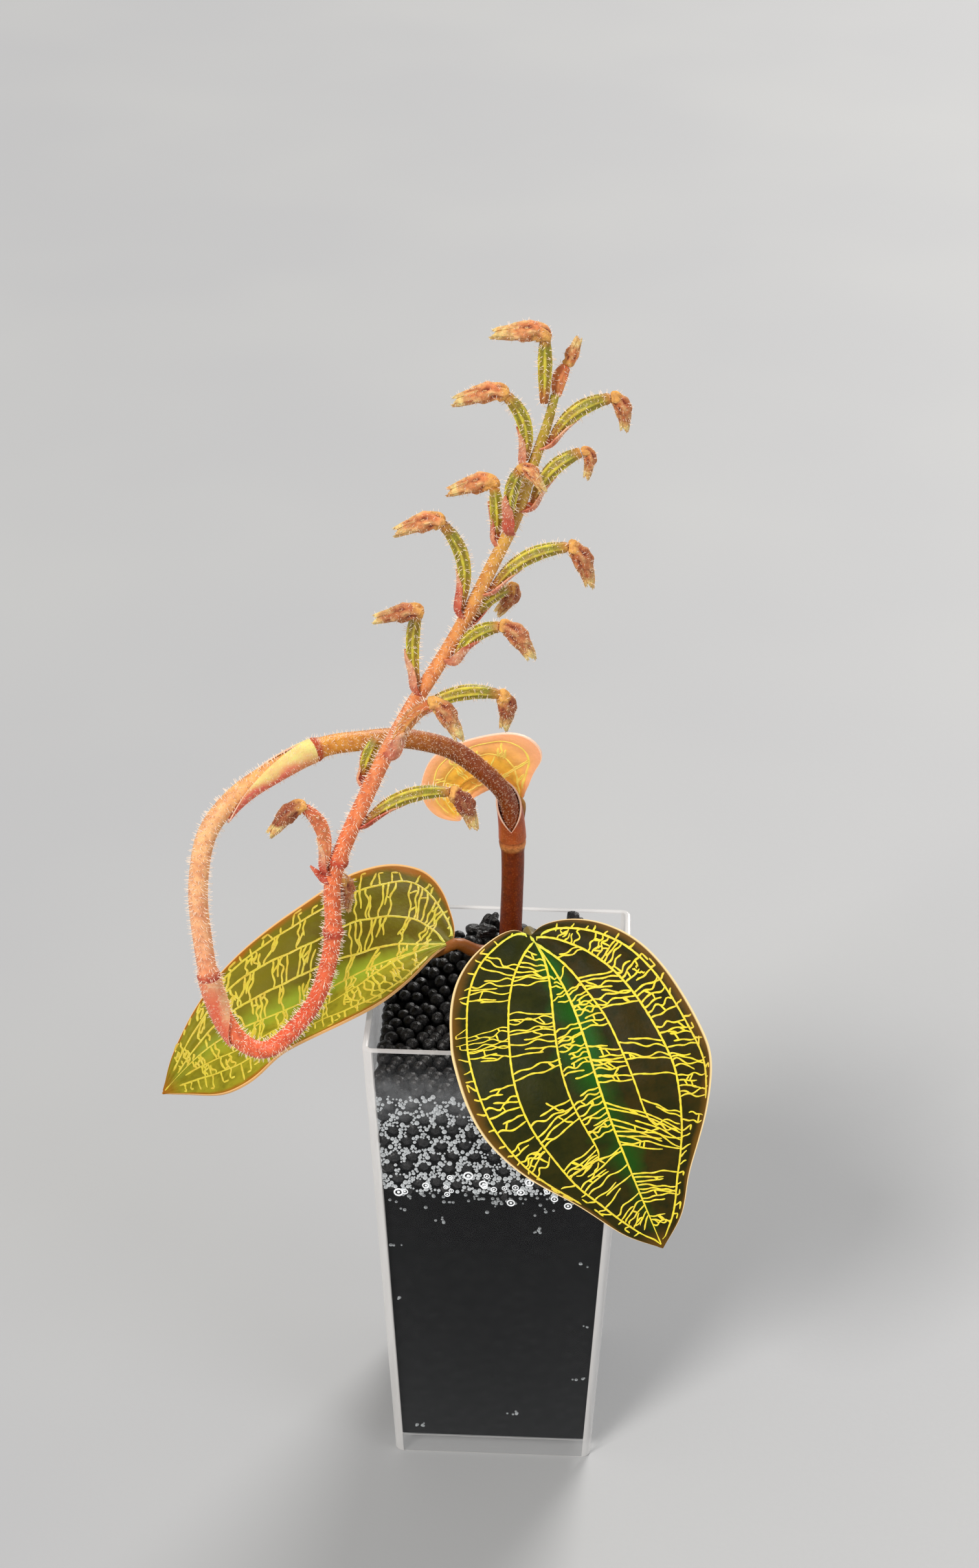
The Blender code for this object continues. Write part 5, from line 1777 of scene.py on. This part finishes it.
# %% Where the veins run
RIGHT_VEINS = {
    "midrib": [(0.0, 0), (0.3, 0), (0.65, 0), (0.985, 0)],
    "inner_left": [(0.03, -0.02), (0.08, -0.06), (0.17, -0.12), (0.3, -0.19), (0.49, -0.235),
                   (0.61, -0.21), (0.655, -0.21), (0.685, -0.27)],
    "middle_left": [(0.03, -0.12), (0.075, -0.35), (0.17, -0.47), (0.27, -0.52), (0.375, -0.56),
                    (0.48, -0.6), (0.69, -0.64), (0.77, -0.7), (0.85, -0.68), (0.94, -0.49), (0.985, -0.1)],
    "outer_left": [(0.03, -0.5), (0.05, -0.78), (0.125, -0.85), (0.25, -0.86), (0.46, -0.88),
                   (0.6, -0.885), (0.68, -0.91), (0.8, -0.93)],
    "inner_right": [(0.03, 0.05), (0.08, 0.15), (0.155, 0.21), (0.24, 0.22), (0.31, 0.26),
                    (0.38, 0.28), (0.5, 0.3), (0.6, 0.34), (0.64, 0.42)],
    "middle_right": [(0.03, 0.2), (0.08, 0.5), (0.175, 0.56), (0.25, 0.59), (0.33, 0.62), (0.48, 0.66),
                     (0.63, 0.7), (0.81, 0.75), (0.89, 0.71), (0.93, 0.64), (0.97, 0.3)],
    "outer_right": [(0.04, 0.5), (0.104, 0.79), (0.18, 0.85), (0.32, 0.89), (0.47, 0.91),
                    (0.555, 0.94), (0.62, 0.96)],
}
# from one vein to another: t where a bundle leaves the first, t where it meets the second, lines
RIGHT_BUNDLES = {
    ("outer_left", "middle_left"): [
        (0.138, 0.158, 3), (0.2, 0.192, 2), (0.232, 0.224, 4), (0.375, 0.36, 5), (0.417, 0.4, 3),
        (0.508, 0.488, 2), (0.55, 0.53, 5), (0.64, 0.612, 4), (0.679, 0.633, 3)],
    ("middle_left", "inner_left"): [
        (0.096, 0.092, 2), (0.135, 0.128, 2), (0.167, 0.15, 2), (0.196, 0.166, 2), (0.304, 0.296, 3),
        (0.365, 0.34, 4), (0.408, 0.383, 2), (0.467, 0.417, 2), (0.567, 0.521, 2), (0.612, 0.546, 3),
        (0.708, 0.654, 3)],
    ("inner_left", "midrib"): [
        (0.179, 0.175, 3), (0.242, 0.208, 3), (0.354, 0.312, 3), (0.394, 0.356, 5), (0.45, 0.417, 4),
        (0.538, 0.5, 4), (0.583, 0.554, 3), (0.612, 0.592, 3)],
    ("middle_left", "midrib"): [
        (0.725, 0.662, 3), (0.775, 0.712, 4), (0.815, 0.755, 2), (0.875, 0.832, 4), (0.92, 0.871, 3)],
    ("midrib", "inner_right"): [
        (0.162, 0.154, 1), (0.229, 0.24, 5), (0.283, 0.305, 6), (0.383, 0.425, 4), (0.427, 0.458, 4),
        (0.46, 0.495, 2)],
    ("midrib", "middle_right"): [
        (0.533, 0.683, 2), (0.579, 0.721, 3), (0.633, 0.72, 4), (0.775, 0.815, 5),
        (0.825, 0.85, 3), (0.9, 0.915, 3)],
    ("inner_right", "middle_right"): [
        (0.108, 0.162, 2), (0.225, 0.285, 5), (0.285, 0.325, 3), (0.388, 0.45, 2), (0.433, 0.485, 2),
        (0.488, 0.535, 1), (0.562, 0.638, 2)],
    ("middle_right", "outer_right"): [
        (0.1, 0.11, 3), (0.14, 0.13, 2), (0.205, 0.2, 5), (0.268, 0.268, 6), (0.35, 0.352, 6),
        (0.432, 0.45, 5), (0.49, 0.525, 4), (0.56, 0.585, 5), (0.642, 0.667, 2)],
}
LEFT_VEINS = {
    "midrib": [(0.0, 0), (0.3, 0), (0.65, 0), (0.985, 0)],
    "upper": [(0.03, -0.2), (0.146, -0.47), (0.27, -0.46), (0.36, -0.51), (0.45, -0.54), (0.575, -0.6),
              (0.675, -0.64), (0.8, -0.62), (0.93, -0.4)],
    "upper_outer": [(0.04, -0.6), (0.08, -0.82), (0.154, -0.82), (0.21, -0.84), (0.29, -0.79),
                    (0.39, -0.8), (0.6, -0.84), (0.8, -0.86)],
    "upper_low": [(0.03, -0.08), (0.18, -0.17), (0.31, -0.19), (0.39, -0.25), (0.6, -0.3), (0.8, -0.28),
                  (0.92, -0.1)],
    "lower_outer": [(0.1, 0.75), (0.225, 0.83), (0.3, 0.78), (0.39, 0.71), (0.51, 0.64), (0.72, 0.59),
                    (0.93, 0.48)],
    "lower_inner": [(0.07, 0.05), (0.2, 0.12), (0.27, 0.2), (0.36, 0.3), (0.5, 0.36), (0.7, 0.34),
                    (0.9, 0.2)],
}
LEFT_ZONES = [("upper_outer", "upper"), ("upper", "upper_low"), ("upper_low", "midrib"),
              ("midrib", "lower_inner"), ("lower_inner", "lower_outer")]
BACK_VEINS = {
    "midrib": [(0.0, 0), (0.5, 0), (0.97, 0)],
    "near": [(0.05, -0.2), (0.3, -0.5), (0.7, -0.5), (0.95, -0.2)],
    "far": [(0.05, 0.2), (0.25, 0.42), (0.6, 0.45), (0.93, 0.2)],
    "outer": [(0.08, 0.5), (0.25, 0.76), (0.6, 0.75), (0.9, 0.5)],
}
BUNDLE_PITCH = 0.0135
# width of a vein in millimetres
LONG_WIDTH = 0.62
SPARK_WIDTH = 0.46


def across_at(vein, t):
    """s of a long vein at t."""
    return np.interp(t, *zip(*vein))


def crooked(start, end, draw, sway=0.0035, steps=6):
    """A line from start to end in t and s that wanders sideways in small steps."""
    shares = np.linspace(0, 1, steps)
    shares[1:-1] += draw.uniform(-0.05, 0.05, steps - 2)
    line = np.array(start) + (np.array(end) - np.array(start)) * shares[:, None]
    wander = draw.normal(0, sway, steps)
    wander[0] = wander[-1] = 0.0
    line[:, 0] += wander
    return line


def point_on(line, share):
    place = share * (len(line) - 1)
    index = min(int(place), len(line) - 2)
    return line[index] + (line[index + 1] - line[index]) * (place - index)


def draw_bundle(first, second, t_first, t_second, count, draw):
    """The lines of a bundle that crosses from one long vein to another."""
    lines = []
    for index in range(count):
        offset = (index - (count - 1) / 2) * BUNDLE_PITCH
        t0 = t_first + offset + draw.normal(0, 0.002)
        t1 = t_second + offset + draw.normal(0, 0.002)
        line = crooked((t0, across_at(first, t0)), (t1, across_at(second, t1)), draw)
        fate = draw.uniform()
        if fate < 0.16:
            line = np.array([point_on(line, share) for share in np.linspace(0.0, 0.66, 5)])
        elif fate < 0.34:
            line = np.array([point_on(line, share) for share in np.linspace(0.3, 1.0, 5)])
        lines.append(line)
    links = []
    for line, neighbour in zip(lines, lines[1:]):
        for _ in range(draw.integers(0, 3)):
            share = draw.uniform(0.1, 0.75)
            links.append(crooked(point_on(line, share),
                                 point_on(neighbour, min(share + draw.uniform(0.05, 0.2), 1)), draw,
                                 0.001, 4))
    return lines + links


def margin_stubs(vein, edge, draw, first=0.06, last=0.93):
    """Short lines, some of them hooked, from an outer vein towards the margin."""
    lines = []
    t = first
    while t < last:
        s = across_at(vein, t)
        reach = s + (edge - s) * draw.uniform(0.45, 0.95)
        lines.append(crooked((t, s), (t + draw.normal(0, 0.006), reach), draw, 0.001, 4))
        if draw.uniform() < 0.45:
            turn = draw.choice([-1, 1]) * draw.uniform(0.01, 0.02)
            lines.append(crooked((lines[-1][-1][0], reach), (lines[-1][-1][0] + turn, reach), draw,
                                 0.0008, 4))
        t += draw.uniform(0.018, 0.034)
    return lines


print("bundles on the right leaf:", sum(len(rows) for rows in RIGHT_BUNDLES.values()))

# %% Vein strips, copied and laid on the blades
VEIN_HEIGHT = 0.16 * MM


def make_strip(rows):
    """A low strip with a rounded back: x across from -1 to 1, z along from 0 to 1."""
    clear_selection()
    bpy.ops.mesh.primitive_grid_add(x_subdivisions=4, y_subdivisions=rows, size=2)
    strip = bpy.context.object
    strip.name = "vein_strip_%d" % rows
    flat = points_of(strip)
    along_it = (flat[:, 1] + 1) / 2
    back = np.sqrt(np.maximum(1 - flat[:, 0] ** 2, 0))
    move_points(strip, np.column_stack([flat[:, 0], back, along_it]))
    return strip


strips = [make_strip(rows) for rows in (7, 14, 30, 90)]
STRIP_REACH = [0.004, 0.009, 0.02]


def lay_strips(name, blade, lines, side_up=1):
    """One mesh of all the veins of a leaf. lines holds (points of t and s, width, end width)."""
    all_points, all_faces, all_tones = [], [], []
    count = 0
    for line, width, end_width in lines:
        curve, _ = natural_spline(line, 60)
        plan = blade.plan(curve[:, 0], curve[:, 1])
        gone = np.concatenate([[0], np.cumsum(np.linalg.norm(np.diff(plan, axis=0), axis=1))])
        strip = strips[int(np.searchsorted(STRIP_REACH, gone[-1]))]
        local = points_of(strip)
        here = local[:, 2] * gone[-1]
        centre = np.column_stack([np.interp(here, gone, plan[:, i]) for i in (0, 1)])
        step = 0.3 * MM
        ahead = np.column_stack([np.interp(here + step, gone, plan[:, i]) for i in (0, 1)])
        behind = np.column_stack([np.interp(here - step, gone, plan[:, i]) for i in (0, 1)])
        way = unit(ahead - behind)
        half = (width + (end_width - width) * local[:, 2]) * MM / 2
        half = half * (1 + 0.16 * np.sin(here / MM * 2.9 + count))
        blunt = np.clip(np.minimum(here, gone[-1] - here) / half, 0.0, 1.0)
        half = half * np.sqrt(0.2 + 0.8 * blunt)
        side = np.column_stack([way[:, 1], -way[:, 0]]) * (local[:, 0] * half)[:, None]
        t = np.interp(here, gone, curve[:, 0])
        s = np.interp(here, gone, curve[:, 1])
        place, normal = blade.surface(*(centre + side).T)
        lift = side_up * (LEAF_THICKNESS / 2 - 0.05 * MM + local[:, 1] * VEIN_HEIGHT)
        all_points.append(place + normal * (blade.pucker(t, s) + lift)[:, None])
        all_faces += [[corner + count for corner in face.vertices] for face in strip.data.polygons]
        all_tones.append(np.column_stack([t, s]))
        count += len(local)
    mesh = bpy.data.meshes.new(name)
    mesh.from_pydata(np.vstack(all_points), [], all_faces)
    mesh.shade_smooth()
    piece = bpy.data.objects.new(name, mesh)
    bpy.context.scene.collection.objects.link(piece)
    tones = np.vstack(all_tones)
    add_attribute(piece, "t", tones[:, 0])
    add_attribute(piece, "s", tones[:, 1])
    return piece


def right_lines(draw):
    lines = []
    for name, vein in RIGHT_VEINS.items():
        width = 0.8 if name == "midrib" else LONG_WIDTH
        lines.append((vein, width, width * 0.7))
    sparks = []
    for (first, second), rows in RIGHT_BUNDLES.items():
        for t_first, t_second, count in rows:
            sparks += draw_bundle(RIGHT_VEINS[first], RIGHT_VEINS[second], t_first, t_second, count, draw)
    sparks += margin_stubs(RIGHT_VEINS["outer_left"], -0.965, draw, 0.06, 0.8)
    sparks += margin_stubs(RIGHT_VEINS["outer_right"], 0.975, draw, 0.08, 0.6)
    sparks += margin_stubs(RIGHT_VEINS["middle_right"], 0.9, draw, 0.68, 0.93)
    sparks += margin_stubs(RIGHT_VEINS["middle_left"], -0.88, draw, 0.74, 0.93)
    # the inner veins split near the end, and two islets lie in the cells
    sparks += [crooked((0.685, -0.27), (0.715, -0.58), draw), crooked((0.69, -0.27), (0.74, -0.5), draw),
               crooked((0.64, 0.42), (0.68, 0.68), draw), crooked((0.62, 0.38), (0.66, 0.69), draw),
               crooked((0.52, -0.42), (0.545, -0.3), draw), crooked((0.28, 0.74), (0.3, 0.82), draw),
               crooked((0.285, 0.78), (0.272, 0.83), draw)]
    return lines + [(line, SPARK_WIDTH, SPARK_WIDTH * 0.85) for line in sparks]


def left_lines(draw):
    lines = []
    for name, vein in LEFT_VEINS.items():
        width = 0.85 if name == "midrib" else 0.75
        lines.append((vein, width, width * 0.7))
    sparks = []
    for first, second in LEFT_ZONES:
        t = 0.1 + draw.uniform(0, 0.03)
        while t < 0.9:
            sparks += draw_bundle(LEFT_VEINS[first], LEFT_VEINS[second], t, t + draw.normal(0, 0.012),
                                  draw.integers(2, 5), draw)
            t += draw.uniform(0.062, 0.088)
    sparks += margin_stubs(LEFT_VEINS["upper_outer"], -0.96, draw)
    sparks += margin_stubs(LEFT_VEINS["lower_outer"], 0.96, draw, 0.15)
    return lines + [(line, SPARK_WIDTH * 1.4, SPARK_WIDTH * 1.15) for line in sparks]


def back_lines(draw):
    lines = [(vein, 0.5, 0.3) for vein in BACK_VEINS.values()]
    for first, second in (("near", "midrib"), ("midrib", "far"), ("far", "outer")):
        for t in np.arange(0.14, 0.9, 0.11):
            count = draw.integers(1, 4)
            bundle = draw_bundle(BACK_VEINS[first], BACK_VEINS[second], t, t + draw.normal(0, 0.04), count,
                                 draw)
            lines += [(line, 0.42, 0.25) for line in bundle]
    return lines


vein_pieces = {}
for name, lines_of, seed in (("leaf_right", right_lines, 3), ("leaf_left", left_lines, 4),
                             ("leaf_back", back_lines, 5)):
    lines = lines_of(np.random.default_rng(seed))
    vein_pieces[name] = lay_strips(name + "_veins", blades[name], lines,
                                   -1 if name == "leaf_back" else 1)
    print(name, "veins:", len(lines), "faces:", len(vein_pieces[name].data.polygons))
for strip in strips:
    discard(strip)

# %% Gold for the veins
# the vein's colour near the midrib's foot, over the blade, and at the margin
VEIN_COLOURS = {
    "leaf_right": ((206, 220, 70), (244, 222, 52), (222, 186, 70)),
    "leaf_left": ((212, 216, 86), (210, 192, 58), (196, 146, 44)),
    "leaf_back": ((255, 236, 120), (255, 228, 104), (250, 200, 128)),
}


def vein_colour(tree, foot, body, margin):
    side = maths(tree, "ABSOLUTE", attribute(tree, "s"))
    base = mix(tree, spread(tree, attribute(tree, "t"), 0.0, 0.14), seen(*foot), seen(*body))
    base = mix(tree, spread(tree, side, 0.88, 0.98), base, seen(*margin))
    return blotches(tree, base, seen(*margin), seen(*margin), 500.0, 0.35, 0.2)


for name, piece in vein_pieces.items():
    gold = fleshy(name + "_gold", lambda tree: vein_colour(tree, *VEIN_COLOURS[name]), 2400.0, 0.4, 0.1)
    # painted glow: the veins give off a little light in their own gold
    gold_painted_glow_shader = gold.node_tree.nodes["Principled BSDF"]
    gold_painted_glow_shader.inputs["Emission Color"].default_value = seen(*VEIN_COLOURS[name][1])
    gold_painted_glow_shader.inputs["Emission Strength"].default_value = 0.12
    paint(piece, gold)
    settle(piece, name + "_blade")
print("veins are gilded")

# %% [markdown]
# ## Hairs
#
# The stalk, the capsules and the dry flowers bristle with short white hairs that catch the light.
# Hair curves would be lost on export, so each hair is a real needle with three sides. It is cut
# from a cone, and copies stand on points picked evenly over the skin, each turned along the normal
# there with a little lean.

# %% Needles on the skin
HAIR_LENGTH = 1.05 * MM


def make_needle():
    clear_selection()
    bpy.ops.mesh.primitive_cone_add(vertices=3, radius1=0.08, radius2=0.03, depth=1, location=(0, 0, 0.45))
    needle = bpy.context.object
    needle.name = "needle"
    apply_place(needle)
    edit(needle)
    select_where(needle, "faces", lambda face: face.normal.z < -0.9)
    bpy.ops.mesh.delete(type="ONLY_FACE")
    leave_edit()
    return needle


def skin_points(piece, spacing, draw):
    """Points spread over a piece's faces, one to each spacing squared, and the normals there."""
    mesh = piece.data
    mesh.calc_loop_triangles()
    corners = np.array([triangle.vertices for triangle in mesh.loop_triangles])
    a, b, c = (points_of(piece)[corners[:, i]] for i in range(3))
    cross = np.cross(b - a, c - a)
    area = np.linalg.norm(cross, axis=1) / 2
    count = int(area.sum() / spacing ** 2)
    levels = (np.arange(count) + draw.uniform(0, 1, count)) / count * area.sum()
    picked = np.minimum(np.searchsorted(np.cumsum(area), levels), len(area) - 1)
    first, second = draw.uniform(0, 1, (2, count, 1))
    folded = first + second > 1
    first = np.where(folded, 1 - first, first)
    second = np.where(folded, 1 - second, second)
    place = a[picked] + (b - a)[picked] * first + (c - a)[picked] * second
    return place, unit(cross[picked])


def lean_turns(normals, lean, draw):
    """Turns that send +Z along each normal, give or take a lean."""
    z = unit(normals + draw.normal(0, lean, normals.shape))
    x = unit(np.cross(z, unit(draw.normal(size=z.shape))))
    y = np.cross(z, x)
    return np.stack([x, y, z], axis=-1)


def skin_share(piece, places):
    """How far along the stalk each place is."""
    near = np.argmin(np.linalg.norm(places[:, None] - spike_route.points[None, ::4], axis=2), axis=1)
    return near * 4 / len(spike_route.points)


def grow_hairs(name, pieces, spacing, length, draw, bare_to=0.0, lean=0.2):
    found = [skin_points(piece, spacing, draw) for piece in pieces]
    places = np.vstack([place for place, _ in found])
    normals = np.vstack([normal for _, normal in found])
    sizes = length * draw.uniform(0.6, 1.15, len(places))
    if bare_to > 0:
        gone = np.concatenate([skin_share(piece, place) for piece, (place, _) in zip(pieces, found)])
        sizes = sizes * np.interp(gone, (0.0, bare_to, bare_to * 1.5), (0.35, 0.5, 1.0))
    hairs = strewn(name, needle, places, lean_turns(normals, lean, draw), sizes)
    print(name + ":", len(places), "hairs")
    return hairs


needle = make_needle()
draw = np.random.default_rng(21)
stalk_hairs = grow_hairs("stalk_hairs", [spike], 0.8 * MM, HAIR_LENGTH, draw, 0.16)
capsule_hairs = grow_hairs("capsule_hairs", list(capsules.values()), 0.8 * MM, HAIR_LENGTH * 0.9, draw)
flower_hairs = grow_hairs("flower_hairs", list(blooms.values()) + [bracts], 1.1 * MM, 0.7 * MM, draw)
sheath_hairs = grow_hairs("sheath_hairs", sheaths, 1.3 * MM, 0.7 * MM, draw)
discard(needle)
hair_white, tree, shader = start_material("hair_white", Roughness=0.5, Subsurface_Weight=0.0)
shader.inputs["Base Color"].default_value = seen(252, 228, 206)
# painted glow: the hairs give off a little light of their own
shader.inputs["Emission Color"].default_value = seen(255, 240, 220)
shader.inputs["Emission Strength"].default_value = 0.12
for hairs, slot in ((stalk_hairs, "spike_coral"), (capsule_hairs, "capsule_olive"),
                    (flower_hairs, "withered_flower"), (sheath_hairs, "spike_coral")):
    paint(hairs, hair_white)
    settle(hairs, slot)
